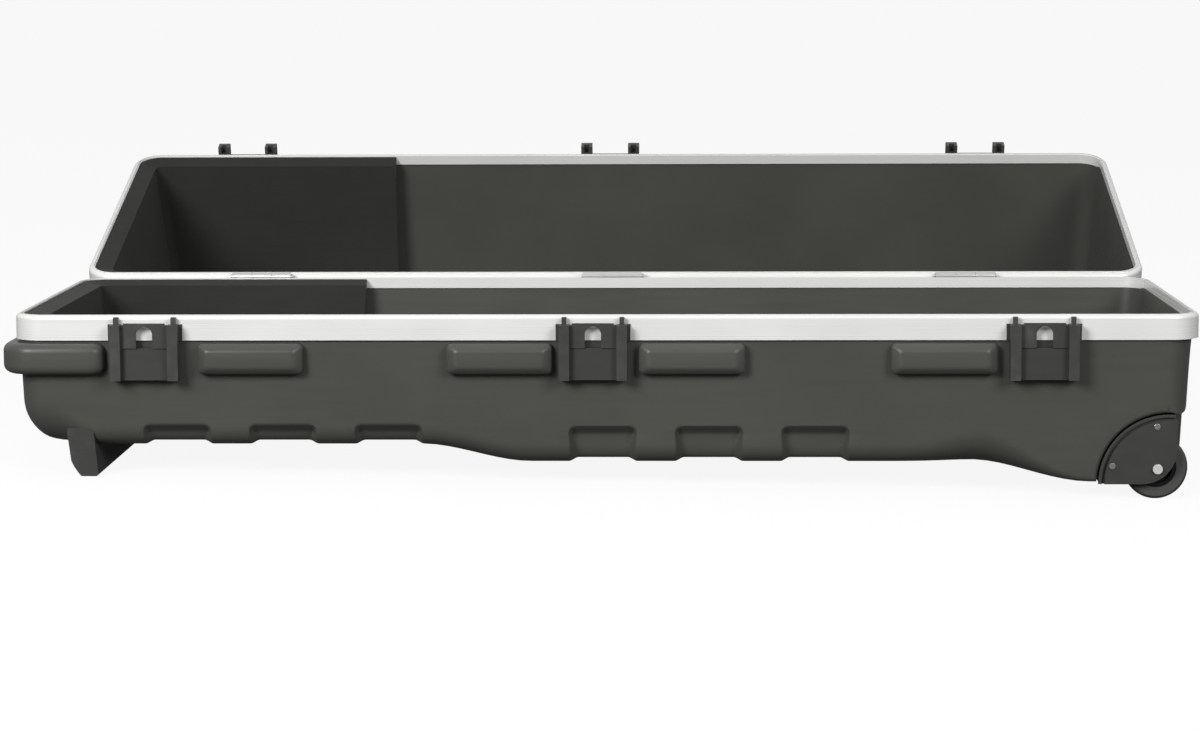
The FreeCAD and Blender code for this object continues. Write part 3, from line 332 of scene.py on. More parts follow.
@dataclass(frozen=True)
class Moulding(Surface):
    """A moulded plastic or rubber finish."""

    grain: float
    grain_depth: float
    tone: float = 0.12
    wear: float = 0.5
    sheen: float = 0.0
    gloss: float = 0.2
    rough_spread: ClassVar[float] = 0.05
    worn_shade: ClassVar[Pair] = (2.2, 0.02)
    bump: ClassVar[float] = 0.6

    def dress(self, nodes: Nodes, shader: Node) -> None:
        """Join the moulded grain, tone and wear to the shader.

        Args:
            nodes: The material's nodes.
            shader: Its shader.
        """
        surface = nodes.add("ShaderNodeGroup", node_tree=moulded_effect())
        nodes.fill(surface, {"Grain scale": self.grain, "Wear": self.wear})
        given = surface.outputs
        tone = nodes.spread(given["Tone"], 0.35, 0.65)
        toned = nodes.mix(self.shade(1 - self.tone), self.shade(1 + self.tone), tone)
        nodes.fill(shader, {
            "Base Color": nodes.mix(toned, self.shade(*self.worn_shade), given["Edge"]),
            "Roughness": nodes.spread(given["Streak"], -1.0, 1.0, *self.rough_range()),
            "Normal": nodes.bump(given["Height"], self.bump, self.grain_depth),
            "Sheen Weight": self.sheen,
            "Specular IOR Level": self.gloss,
        })


@dataclass(frozen=True)
class Metal(Surface):
    """A drawn, plated or turned metal finish."""

    streaks: Triple = (1.0, 1.0, 1.0)
    streak_depth: float = 0.02 * MM
    metallic: float = 1.0
    rough_spread: ClassVar[float] = 0.06
    streak_scale: ClassVar[float] = 700.0
    cloud_scale: ClassVar[float] = 9.0
    cloud_shade: ClassVar[float] = 0.93
    bump: ClassVar[float] = 0.35

    def dress(self, nodes: Nodes, shader: Node) -> None:
        """Join the streaks and the cloudy tone to the shader.

        Args:
            nodes: The material's nodes.
            shader: Its shader.
        """
        place = nodes.add("ShaderNodeTexCoord").outputs["Object"]
        drawn = nodes.noise(nodes.stretched(place, self.streaks), self.streak_scale, 4.0)
        cloudy = nodes.spread(nodes.noise(place, self.cloud_scale, 3.0), 0.3, 0.7)
        nodes.fill(shader, {
            "Base Color": nodes.mix(self.shade(self.cloud_shade), self.shade(), cloudy),
            "Roughness": nodes.spread(drawn, 0.25, 0.75, *self.rough_range()),
            "Normal": nodes.bump(drawn, self.bump, self.streak_depth),
            "Metallic": self.metallic,
        })


class Finish(Enum):
    """The finishes of the case's pieces."""

    SHELL = Moulding(
        "shell_plastic", (0.066, 0.066, 0.060), 0.38, 520.0, 0.18 * MM, 0.07, 0.15, gloss=0.3
    )
    LATCH = Moulding("latch_plastic", (0.047, 0.047, 0.045), 0.42, 900.0, 0.08 * MM, 0.05, 0.3)
    TRIM = Moulding("trim_plastic", (0.044, 0.044, 0.042), 0.45, 900.0, 0.08 * MM, 0.05, 0.2)
    FOAM = Moulding(
        "liner_foam", (0.027, 0.027, 0.025), 0.9, 420.0, 0.6 * MM, 0.10, 0.0, 0.05, 0.15
    )
    TYRE = Moulding("tyre_rubber", (0.070, 0.070, 0.067), 0.52, 700.0, 0.10 * MM, 0.10, 0.4)
    # The hub's colour is partly its own dark plastic and partly painted shade: it is made far darker than the trim
    # so that the recess behind the side plate reads black.
    HUB = Moulding(
        "hub_plastic", (0.012, 0.012, 0.012), 0.55, 900.0, 0.08 * MM, 0.05, 0.0, gloss=0.1
    )
    GRIP = Moulding("grip_rubber", (0.030, 0.030, 0.029), 0.60, 1100.0, 0.12 * MM, 0.10, 0.3)
    RIM = Metal(
        "rim_aluminium", (0.82, 0.82, 0.80), 0.30, (0.004, 0.004, 1.0), 0.008 * MM, 0.16
    )
    STEEL = Metal("plated_steel", (0.62, 0.62, 0.61), 0.32)
    BOLT = Metal("turned_steel", (0.80, 0.80, 0.78), 0.34, metallic=0.45)
    BLACKED = Metal("blackened_steel", (0.34, 0.34, 0.32), 0.22)

    def material(self) -> Material:
        """The finish's material."""
        return self.value.material()


# ---- mesh tools


def linked(name: str, data: bpy.types.ID) -> Object:
    """Put an object with this data in the scene."""
    made = bpy.data.objects.new(name, data)
    bpy.context.scene.collection.objects.link(made)
    return made


def shown(bm: BMesh, name: str) -> Object:
    """Put a mesh in the scene.

    Args:
        bm: The mesh. It is freed.
        name: The object's name.

    Returns:
        The object.
    """
    mesh = bpy.data.meshes.new(name)
    bm.to_mesh(mesh)
    bm.free()
    return linked(name, mesh)


def finished(
    bm: BMesh, name: str, finish: Finish, body: str, sharp: float, weighted: bool = False
) -> Object:
    """Turn a mesh into a shown piece.

    Args:
        bm: The mesh, in the row frame. It is freed.
        name: The piece's name.
        finish: What it is made of.
        body: The body that it rides on.
        sharp: Edges that turn by more degrees than this stay sharp.
        weighted: Whether large faces shade as flat and leave the rounding to their edges.

    Returns:
        The piece.
    """
    piece = shown(bm, name)
    mesh = piece.data
    mesh.shade_smooth()
    mesh.set_sharp_from_angle(angle=radians(sharp))
    mesh.materials.append(finish.material())
    if weighted:
        weigh = piece.modifiers.new("weigh", "WEIGHTED_NORMAL")
        weigh.keep_sharp = True
        graph = bpy.context.evaluated_depsgraph_get()
        piece.data = bpy.data.meshes.new_from_object(piece.evaluated_get(graph))
        piece.data.name = name
        piece.modifiers.clear()
    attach(piece, body)
    LOG.info("%s: %d faces on %s", name, len(mesh.polygons), body)
    return piece


def boolean(base: BMesh, tool: BMesh, operation: str = "DIFFERENCE") -> BMesh:
    """Cut, join or intersect two closed meshes.

    Args:
        base: The mesh that is kept. It is freed.
        tool: The mesh that works on it. It is freed.
        operation: DIFFERENCE, UNION or INTERSECT.

    Returns:
        The resulting mesh.
    """
    made = [shown(bm, "scratch") for bm in (base, tool)]
    modifier = made[0].modifiers.new("cut", "BOOLEAN")
    modifier.operation = operation
    modifier.solver = "EXACT"
    modifier.object = made[1]
    result = bmesh.new()
    result.from_object(made[0], bpy.context.evaluated_depsgraph_get())
    bmesh.ops.remove_doubles(result, verts=result.verts, dist=WELD)
    for scratch in made:
        mesh = scratch.data
        bpy.data.objects.remove(scratch)
        bpy.data.meshes.remove(mesh)
    return result


def plate(length: float, width: float) -> BMesh:
    """A flat rectangle about the origin."""
    bm = bmesh.new()
    bmesh.ops.create_grid(bm, x_segments=1, y_segments=1, size=0.5)
    bmesh.ops.scale(bm, vec=(length, width, 1), verts=bm.verts)
    return bm


def rounded(
    bm: BMesh, geom: Sequence[BMEdge | BMVert], rounding: Rounding, affect: str = "EDGES"
) -> None:
    """Round edges, or the corners of a flat outline.

    Args:
        bm: The mesh.
        geom: Its edges or vertices that are rounded.
        rounding: How far the rounding reaches and its number of steps.
        affect: EDGES or VERTICES.
    """
    offset, segments = rounding
    bmesh.ops.bevel(
        bm, geom=geom, offset=offset, offset_type="OFFSET", segments=segments, profile=0.5,
        affect=affect, clamp_overlap=affect == "EDGES", material=-1,
    )


def picked(made: Iterable[object], kind: type) -> list:
    """The elements of one kind among those that an operator made."""
    return [item for item in made if isinstance(item, kind)]


def extruded(
    bm: BMesh, faces: list[BMFace], move: Sequence[float]
) -> tuple[list[BMFace], list[BMVert]]:
    """Extrude faces and keep those that they start from.

    Args:
        bm: The mesh.
        faces: The faces.
        move: Where they go.

    Returns:
        The faces at the far end and their vertices.
    """
    made = bmesh.ops.extrude_face_region(bm, geom=faces, use_keep_orig=True)["geom"]
    verts = picked(made, BMVert)
    bmesh.ops.translate(bm, vec=move, verts=verts)
    return picked(made, BMFace), verts


def outward(bm: BMesh) -> BMesh:
    """Turn a closed mesh's faces outwards."""
    bmesh.ops.recalc_face_normals(bm, faces=bm.faces)
    return bm


def appended(target: BMesh, extra: BMesh) -> None:
    """Add one mesh's faces to another and free it."""
    mesh = bpy.data.meshes.new("scratch")
    extra.to_mesh(mesh)
    extra.free()
    target.from_mesh(mesh)
    bpy.data.meshes.remove(mesh)


@dataclass(frozen=True)
class EasedEdges:
    """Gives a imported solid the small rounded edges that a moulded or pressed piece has."""

    rounding: Rounding
    turn: float = 28.0
    sharp: float = 40.0
    flat: float = 0.6
    trimmed_flat: float = 0.1
    merge: float = 0.004 * MM

    def dissolve(self, bm: BMesh, angle: float) -> None:
        """Join faces that turn by less than some degrees."""
        limit = radians(angle)
        bmesh.ops.dissolve_limit(bm, angle_limit=limit, verts=bm.verts, edges=bm.edges)

    def piece(
        self, node: str, name: str, finish: Finish, slot: str, within: BMesh | None = None
    ) -> Object:
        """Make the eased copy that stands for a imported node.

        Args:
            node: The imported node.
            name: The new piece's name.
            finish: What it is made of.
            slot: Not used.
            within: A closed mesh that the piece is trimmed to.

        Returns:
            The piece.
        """
        bm = bmesh.new()
        bm.from_mesh(frame["nodes"][node].data)
        bmesh.ops.remove_doubles(bm, verts=bm.verts, dist=self.merge)
        self.dissolve(bm, self.flat)
        turn = radians(self.turn)
        creases = [
            edge for edge in bm.edges
            if len(edge.link_faces) == 2 and edge.calc_face_angle(0.0) > turn
        ]
        rounded(bm, creases, self.rounding)
        if within is not None:
            bmesh.ops.triangulate(bm, faces=bm.faces)
            bm = boolean(bm, within, "INTERSECT")
            self.dissolve(bm, self.trimmed_flat)
        piece = finished(bm, name, finish, BODY_OF[node], self.sharp, weighted=True)
        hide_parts(node)
        return piece

    def copies(self, ending: str, finish: Finish, slot: str, *nodes: str) -> None:
        """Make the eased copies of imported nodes, each named after its node."""
        for node in nodes:
            self.piece(node, f"{node}_{ending}", finish, slot)


def spaced(marks: Sequence[float], low: float, high: float, gap: float) -> list[float]:
    """Marks in order, with more between them where they lie far apart.

    Args:
        marks: Places that need a line.
        low: The first line.
        high: The last line.
        gap: The widest step.

    Returns:
        The lines, from low to high.
    """
    kept = [low]
    for mark in sorted(mark for mark in marks if low < mark < high) + [high]:
        if mark - kept[-1] < LEAST_STEP:
            continue
        steps = ceil((mark - kept[-1]) / gap)
        start = kept[-1]
        kept += [start + (mark - start) * step / steps for step in range(1, steps + 1)]
    return kept


def eased(value: float, start: float, end: float) -> float:
    """A soft step from 0 at one value to 1 at another."""
    share = min(max((value - start) / (end - start), 0.0), 1.0)
    return share * share * (3 - 2 * share)


# ---- moulded shells


@dataclass(frozen=True)
class DepthProfile:
    """How deep a shell is along its length, with its two ramps."""

    head: float
    middle: float
    end: float
    first_ramp: Pair = (-202 * MM, -82 * MM)
    second_ramp: Pair = (400 * MM, 532 * MM)

    def at(self, x: float) -> float:
        """How deep below the seam the bottom is at a station."""
        first, second = eased(x, *self.first_ramp), eased(x, *self.second_ramp)
        return self.head + (self.middle - self.head) * first + (self.end - self.middle) * second


@dataclass(frozen=True)
class Flutes:
    """The transverse flutes that are pressed into a shell's bottom and the foot of its walls."""

    middles: Pair = (-354 * MM, 114.5 * MM)
    tops: Pair = (121 * MM, 123 * MM)
    pitch: float = 116.5 * MM
    half: float = 38 * MM
    radius: float = 9 * MM
    shallow: float = 1.6 * MM
    deep: float = 4.2 * MM
    narrow: float = 3 * MM
    wide: float = 11 * MM
    growth: float = 28 * MM
    undercut: float = 8 * MM
    undercut_run: float = 12 * MM
    steps: tuple[float, ...] = (0, 0.8, 1.6, 2.4, 3.2, 5, 7, 9, 11)

    def centres(self) -> list[Pair]:
        """The station and the upper end of each flute."""
        return [
            (middle + number * self.pitch, top)
            for middle, top in zip(self.middles, self.tops)
            for number in (-1, 0, 1)
        ]

    def lines(self) -> list[float]:
        """The stations that a grid needs to follow the flutes' ramps."""
        return [
            centre + side * (self.half - step * MM)
            for centre, _ in self.centres()
            for side in (-1, 1)
            for step in self.steps
        ]

    def cover(self, x: float, depth: float) -> Pair:
        """How fully a flute covers a place.

        Args:
            x: The station along the case.
            depth: The depth below the seam.

        Returns:
            The cover, from 0 to 1, and how far the place is below the flute's upper end.
        """
        for centre, top in self.centres():
            across = self.half - abs(x - centre)
            down = depth - top
            if across <= 0 or down <= 0:
                continue
            inside = min(across, down)
            if across < self.radius and down < self.radius:
                inside = self.radius - hypot(self.radius - across, self.radius - down)
            ramp = self.narrow + (self.wide - self.narrow) * eased(down, 0, self.growth)
            return eased(inside, 0, ramp), down
        return 0.0, 0.0

    def inward(self, x: float, depth: float) -> float:
        """How far the surface is pressed in at a station and a depth below the seam."""
        cover, down = self.cover(x, depth)
        return cover * (self.shallow + (self.deep - self.shallow) * eased(down, 0, self.growth))

    def under(self, x: float, depth: float) -> float:
        """How much further in the wall is cut there, so that a flute's face looks down."""
        cover, down = self.cover(x, depth)
        return cover * self.undercut * eased(down, 0, self.undercut_run)


@dataclass(frozen=True)
class ShellForm:
    """The moulded form of half a case: rings of a rounded rectangle that close over a bottom."""

    plan: CasePlan
    half: Half
    profile: DepthProfile
    flutes: Flutes
    corner: float = 35 * MM
    straight_reach: float = 560 * MM
    far_tuck: float = 5 * MM
    far_fall: float = 22 * MM
    rim_depth: float = 4 * MM
    side_round: float = 22 * MM
    head_round: float = 52 * MM
    far_round: float = 40 * MM
    sweep: Triple = (412 * MM, 48 * MM, 16 * MM)
    taper: Triple = (430 * MM, 535 * MM, 16 * MM)
    least_radius: float = 4 * MM
    wall_rings: tuple[float, ...] = (
        *[step * 0.06 for step in range(14)], *[0.84 + step * 0.0133 for step in range(12)]
    )
    round_rings: int = 12
    corner_steps: int = 6
    gaps: Pair = (14 * MM, 18 * MM)
    pads: tuple[float, ...] = (-502 * MM, -12 * MM, 478 * MM)
    pad_half: float = 52 * MM
    pad_foot: float = 76 * MM
    pad_ramp: float = 14 * MM
    pad_rise: float = 1.3 * MM

    def roundings(self, x: float) -> Pair:
        """The foot of the walls is rounded more at the ends and in the sweep before the wheels.

        Args:
            x: The station along the case.

        Returns:
            The radius under a long wall and under the nearer end wall.
        """
        if self.half is Half.LID:
            return self.side_round, (self.far_round if x > 0 else self.head_round)
        if x < 0:
            blend = eased(-x, self.straight_reach, self.plan.length / 2 - self.corner)
            both = self.side_round + (self.head_round - self.side_round) * blend
            return both, both
        middle, spread, swell = self.sweep
        start, end, lost = self.taper
        side = self.side_round + swell * exp(-(((x - middle) / spread) ** 2))
        return side - lost * eased(x, start, end), self.far_round

    def pad(self, x: float, depth: float) -> float:
        """How far the latch wall swells out around and under a keeper."""
        if self.half is Half.LID:
            return 0.0
        across = max(self.pad_half - abs(x - middle) for middle in self.pads)
        lengthwise = self.pad_rise * eased(across, 0, self.pad_ramp)
        return lengthwise * eased(self.pad_foot - depth, 0, self.pad_ramp)

    def place(self, x: float, y: float, ring: float, skin: float) -> Vector:
        """Where a vertex of the form lies.

        Args:
            x: The vertex's place along the plan of the rim.
            y: Its place across that plan, from the middle.
            ring: 0 at the rim, 1 at the foot of the wall, 2 where the bottom is flat.
            skin: How far the surface is drawn in.

        Returns:
            The point in the closed case's coordinates.
        """
        half_length, half_width = self.plan.length / 2, self.plan.width / 2
        centre_x, centre_y = half_length - self.corner, half_width - self.corner
        past_x, past_y = (abs(x) - centre_x) / self.corner, (abs(y) - centre_y) / self.corner
        share = max(past_x, past_y, 0.0)
        turn = pi / 2
        if past_x > 0:
            ratio = max(past_y, 0.0) / past_x
            turn = ratio * pi / 4 if ratio <= 1 else pi / 2 - pi / 4 / ratio
        side_round, end_round = self.roundings(x)
        rounding = side_round + (end_round - side_round) * cos(turn) ** 2
        bend = max(ring - 1, 0.0) * pi / 2
        level = self.profile.at(x) - skin
        fall = self.rim_depth + (level - rounding - self.rim_depth) * min(ring, 1.0)
        depth = fall + rounding * sin(bend)
        drawn = 1 - cos(bend)
        tuck = self.far_tuck * (1 - exp(-fall / self.far_fall)) if x > 0 else 0.0
        inset = self.plan.wall_inset + skin + self.plan.draft * fall
        shrink = inset + side_round * drawn
        radius = max(self.corner - shrink, self.least_radius)
        inner_x = half_length - inset - tuck - end_round * drawn - radius
        inner_y = half_width - shrink - radius
        along = min(abs(x), centre_x)
        if along > self.straight_reach:
            stretch = (inner_x - self.straight_reach) / (centre_x - self.straight_reach)
            along = self.straight_reach + (along - self.straight_reach) * stretch
        across = min(abs(y), centre_y) * inner_y / centre_y
        if past_x > 0:
            along += radius * share * cos(turn)
        if past_y > 0:
            across += radius * share * (sin(turn) if past_x > 0 else 1.0)
        point = Vector((copysign(along, x), copysign(across, y), depth))
        if past_x <= 0:
            out, down = (cos(bend), sin(bend)) if ring < 2 else (0.0, 1.0)
            normal = Vector((0, copysign(out, y), down))
            point -= normal * self.flutes.inward(point.x, depth + skin)
            point.y -= copysign(self.flutes.under(point.x, depth + skin) * out, y)
            if ring < 2 and y < 0:
                point.y -= self.pad(point.x, depth)
        return Vector((point.x, point.y + half_width, self.half.value * point.z))

    def solid(self, skin: float, overrun: float = 0.0) -> BMesh:
        """Build the closed form.

        Args:
            skin: How far it is drawn in from the outside.
            overrun: How far it runs on past the rim.

        Returns:
            The mesh.
        """
        ends = [self.corner * (step + 1) / self.corner_steps for step in range(self.corner_steps)]
        sides = (self.plan.length, self.flutes.lines()), (self.plan.width, [])
        xs, ys = [], []
        for lines, (side, marks), gap in zip((xs, ys), sides, self.gaps):
            reach = side / 2 - self.corner
            lines += [-reach - end for end in reversed(ends)]
            lines += spaced(marks, -reach, reach, gap)
            lines += [reach + end for end in ends]
        bm = bmesh.new()
        bmesh.ops.create_grid(bm, x_segments=len(xs) - 1, y_segments=len(ys) - 1, size=1)
        spots = {}
        for vert in bm.verts:
            column = round((vert.co.x + 1) / 2 * (len(xs) - 1))
            row = round((vert.co.y + 1) / 2 * (len(ys) - 1))
            spots[vert] = (xs[column], ys[row], 2.0)
        bends = [1 + step / self.round_rings for step in range(self.round_rings)]
        rim = [edge for edge in bm.edges if edge.is_boundary]
        for ring in reversed([*self.wall_rings, *bends]):
            made = bmesh.ops.extrude_edge_only(bm, edges=rim)["geom"]
            fresh = set(picked(made, BMVert))
            for vert in fresh:
                others = (edge.other_vert(vert) for edge in vert.link_edges)
                origin = next(other for other in others if other not in fresh)
                spots[vert] = (*spots[origin][:2], ring)
            rim = picked(made, BMEdge)
        for vert, spot in spots.items():
            vert.co = self.place(*spot, skin)
        for vert in {vert for edge in rim for vert in edge.verts}:
            vert.co.z -= self.half.value * overrun
        bmesh.ops.contextual_create(bm, geom=rim)
        return outward(bm)


@dataclass(frozen=True)
class Bumpers:
    """The bevelled bumpers moulded on a shell's walls under the rim."""

    plan: CasePlan
    half: Half
    top: float = 31 * MM
    height: float = 34 * MM
    length: float = 116 * MM
    middles: tuple[float, ...] = (-387 * MM, -114.5 * MM, 96 * MM, 370 * MM)
    root: float = 7 * MM
    front_face: float = 13 * MM
    rear_face: float = 6 * MM
    front_shoulder: float = 5.5 * MM
    rear_shoulder: float = 1 * MM
    end_slope: float = 10 * MM
    long_slope: float = 7 * MM
    outline: Rounding = (6 * MM, 4)
    soften: Rounding = (2.6 * MM, 3)
    corner_reach: float = 116.5 * MM
    corner_proud: float = 12.5 * MM
    corner_outline: Rounding = (37 * MM, 10)
    corner_tips: Rounding = (17 * MM, 4)
    corner_bevel: Rounding = (9.5 * MM, 6)
    corner_turn: float = 45.0

    def middle_height(self) -> float:
        """The height of the bumpers' middle in the closed case."""
        return self.half.value * (self.top + self.height / 2)

    def wall_bumper(self, x: float, front: bool) -> BMesh:
        """One bumper on a long wall.

        Args:
            x: The station of its middle.
            front: Whether it is on the latch side.

        Returns:
            A closed block that reaches into the wall.
        """
        face = self.front_face if front else self.rear_face
        shoulder = self.front_shoulder if front else self.rear_shoulder
        bm = plate(self.length, self.height)
        rounded(bm, bm.verts[:], self.outline, "VERTICES")
        middle, _ = extruded(bm, bm.faces[:], (0, 0, self.root + shoulder))
        _, top = extruded(bm, middle, (0, 0, face - shoulder))
        bmesh.ops.delete(bm, geom=middle, context="FACES_ONLY")
        drawn = (1 - 2 * self.end_slope / self.length, 1 - 2 * self.long_slope / self.height, 1)
        bmesh.ops.scale(bm, vec=drawn, verts=top)
        loops = [
            edge for edge in outward(bm).edges
            if min(vert.co.z for vert in edge.verts) > self.root
            and abs(edge.verts[0].co.z - edge.verts[1].co.z) < WELD
        ]
        rounded(bm, loops, self.soften)
        turn = Matrix.Rotation(pi / 2, 4, "X")
        if not front:
            turn = Matrix.Rotation(pi, 4, "Z") @ turn
        start = self.root if front else self.plan.width - self.root
        spot = Matrix.Translation((x, start, self.middle_height()))
        bmesh.ops.transform(bm, matrix=spot @ turn, verts=bm.verts)
        return outward(bm)

    def corner_bumper(self, front: bool) -> BMesh:
        """The bumper that wraps one corner at the club-head end.

        Args:
            front: Whether it is on the latch side.

        Returns:
            A closed block that reaches into the case.
        """
        face = self.front_face if front else self.rear_face
        bm = plate(self.corner_reach, self.corner_reach)
        side = -1 if front else 1
        outer = [vert for vert in bm.verts if vert.co.x < 0 and vert.co.y * side > 0]
        tips = [vert for vert in bm.verts if (vert.co.x < 0) != (vert.co.y * side > 0)]
        rounded(bm, outer, self.corner_outline, "VERTICES")
        rounded(bm, tips, self.corner_tips, "VERTICES")
        extruded(bm, bm.faces[:], (0, 0, self.height))
        limit = radians(self.corner_turn)
        sharp = [edge for edge in outward(bm).edges if edge.calc_face_angle(0) > limit]
        rounded(bm, sharp, self.corner_bevel)
        left = -self.plan.length / 2 - self.corner_proud
        middle_y = -face + self.corner_reach / 2
        spot = Vector((
            left + self.corner_reach / 2,
            middle_y if front else self.plan.width - middle_y,
            self.middle_height() - self.height / 2,
        ))
        bmesh.ops.translate(bm, vec=spot, verts=bm.verts)
        return bm

    def all(self, rear_too: bool) -> BMesh:
        """Every bumper of one shell in one mesh.

        Args:
            rear_too: Whether the hinge side has bumpers as well.

        Returns:
            The mesh.
        """
        bm = bmesh.new()
        for front in (True, False) if rear_too else (True,):
            appended(bm, self.corner_bumper(front))
            for middle in self.middles:
                appended(bm, self.wall_bumper(middle, front))
        return bm


@dataclass(frozen=True)
class WheelWell:
    """The round recess in the shell that one wheel and its housing stand in."""

    plan: CasePlan
    front: bool
    radius: float = 78 * MM
    depth: float = 51.7 * MM
    lip: float = 4.5 * MM
    lip_depth: float = 6 * MM
    lip_steps: int = 6
    steps: int = 96
    clear: float = 20 * MM
    merge: float = 0.001 * MM
    heel_round: float = 8 * MM
    heel_x: float = 637.6 * MM
    heel_steps: int = 8
    heel_beyond: float = 16 * MM

    def tool(self, growth: float) -> BMesh:
        """The shape that is cut away, with a rounded mouth.

        Args:
            growth: How much larger it is all over.

        Returns:
            A closed mesh.
        """
        reach, floor = self.radius + growth, self.depth + growth
        turns = [pi / 2 * step / self.lip_steps for step in range(self.lip_steps + 1)]
        mouth = [
            (reach + self.lip * (1 - cos(turn)), self.lip_depth * (1 - sin(turn)))
            for turn in turns
        ]
        line = [
            (0.0, floor), (reach, floor), *mouth, (mouth[-1][0], -self.clear), (0.0, -self.clear)
        ]
        centre = self.plan.wheel()
        bm = bmesh.new()
        verts = [bm.verts.new(centre + Vector((across, along, 0))) for across, along in line]
        edges = [bm.edges.new(pair) for pair in zip(verts, verts[1:])]
        bmesh.ops.spin(
            bm, geom=verts + edges, cent=centre, axis=AXLE, angle=tau, steps=self.steps,
            use_merge=True,
        )
        bmesh.ops.remove_doubles(bm, verts=bm.verts, dist=self.merge)
        for vert in bm.verts:
            vert.co.y += self.plan.wall_inset - self.plan.draft * vert.co.z
        return self.plan.sided(bm, self.front)

    def heel_tool(self) -> BMesh:
        """The sliver that rounds the shell's lower corner where the well meets the end wall.

        Returns:
            A closed mesh.
        """
        middle_x = self.heel_x - self.heel_round
        across = middle_x - self.plan.wheel_station()
        reach = self.radius + self.heel_round
        rise = sqrt(reach ** 2 - across ** 2)
        centre = Vector((middle_x, 0, rise - self.plan.wheel_drop))
        inner = Vector((-across, 0, -rise)).normalized()
        bm = bmesh.new()
        start = bm.verts.new(centre + inner * self.heel_round)
        bmesh.ops.spin(
            bm, geom=[start], cent=centre, axis=AXLE, angle=atan2(inner.z, inner.x),
            steps=self.heel_steps,
        )
        ends = [vert for vert in bm.verts if len(vert.link_edges) == 1]
        first, last = sorted(ends, key=lambda vert: vert.co.z)
        out = bm.verts.new(last.co + Vector((self.heel_beyond, 0, 0)))
        low = bm.verts.new(Vector((out.co.x, 0, first.co.z - self.heel_beyond)))
        inward = bm.verts.new(first.co + inner * self.heel_beyond)
        for pair in ((last, out), (out, low), (low, inward), (inward, first)):
            bm.edges.new(pair)
        bmesh.ops.contextual_create(bm, geom=bm.edges[:])
        extruded(bm, bm.faces[:], (0, self.depth + self.clear, 0))
        bmesh.ops.translate(bm, vec=(0, -self.clear, 0), verts=bm.verts)
        return self.plan.sided(bm, self.front)


@dataclass(frozen=True)
class WheelFlange:
    """The raised rib round a wheel housing's mouth, just outside its side plate."""

    plan: CasePlan
    inner: float = 73.0 * MM
    outer: float = 76.5 * MM
    front_face: float = 9.6 * MM
    back: float = 14 * MM
    end_past: float = 6.5 * MM
    soften: Rounding = (0.6 * MM, 2)
    steps: int = 40
    sharp: float = 35.0

    def build(self, end: str) -> None:
        """Make one rib.

        Args:
            end: The wheel that it goes round, front or rear.
        """
        centre = self.plan.wheel()
        bm = plate(self.outer - self.inner, self.back - self.front_face)
        outer_edge = [vert for vert in bm.verts if vert.co.y < 0]
        rounded(bm, outer_edge, self.soften, "VERTICES")
        middle = Vector((-(self.outer + self.inner) / 2, (self.back + self.front_face) / 2, 0))
        bmesh.ops.translate(bm, vec=centre + middle, verts=bm.verts)
        angle = pi / 2 + asin(self.end_past / self.inner)
        bmesh.ops.spin(bm, geom=bm.faces[:], cent=centre, axis=AXLE, angle=angle, steps=self.steps)
        bmesh.ops.holes_fill(bm, edges=[edge for edge in bm.edges if edge.is_boundary], sides=0)
        self.plan.sided(bm, end == "front")
        bmesh.ops.transform(bm, matrix=self.plan.placed(Half.BASE), verts=bm.verts)
        piece = finished(bm, f"wheel_housing_rib_{end}", Finish.TRIM, "base", self.sharp)


@dataclass(frozen=True)
class Shell:
    """One moulded half of the case: walls, bottom, bumpers, flutes and wheel wells."""

    plan: CasePlan
    half: Half
    profile: DepthProfile
    flutes: Flutes
    wall: float = 3.2 * MM
    foam_gap: float = 0.5 * MM
    overrun: float = 6 * MM
    sharp: float = 32.0

    def form(self) -> ShellForm:
        """The shell's moulded form."""
        return ShellForm(self.plan, self.half, self.profile, self.flutes)

    def inner_form(self, overrun: float) -> BMesh:
        """The space inside the shell, run on past the rim, in the row frame."""
        bm = self.form().solid(self.wall + self.foam_gap, overrun)
        bmesh.ops.transform(bm, matrix=self.plan.placed(self.half), verts=bm.verts)
        return bm

    def build(self) -> None:
        """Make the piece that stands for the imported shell."""
        form = self.form()
        base = self.half is Half.BASE
        outside = boolean(form.solid(0.0), Bumpers(self.plan, self.half).all(base), "UNION")
        inside = form.solid(self.wall, self.overrun)
        for front in (True, False) if base else ():
            well = WheelWell(self.plan, front)
            outside = boolean(outside, well.tool(0.0))
            outside = boolean(outside, well.heel_tool())
            inside = boolean(inside, well.tool(self.wall))
        shell = boolean(outside, inside)
        bmesh.ops.transform(shell, matrix=self.plan.placed(self.half), verts=shell.verts)
        bmesh.ops.triangulate(shell, faces=[face for face in shell.faces if len(face.verts) > 4])
        name = self.half.name.lower()
        piece = finished(shell, f"{name}_shell_moulding", Finish.SHELL, name, self.sharp)
        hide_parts(f"{name}_shell")


# ---- hardware


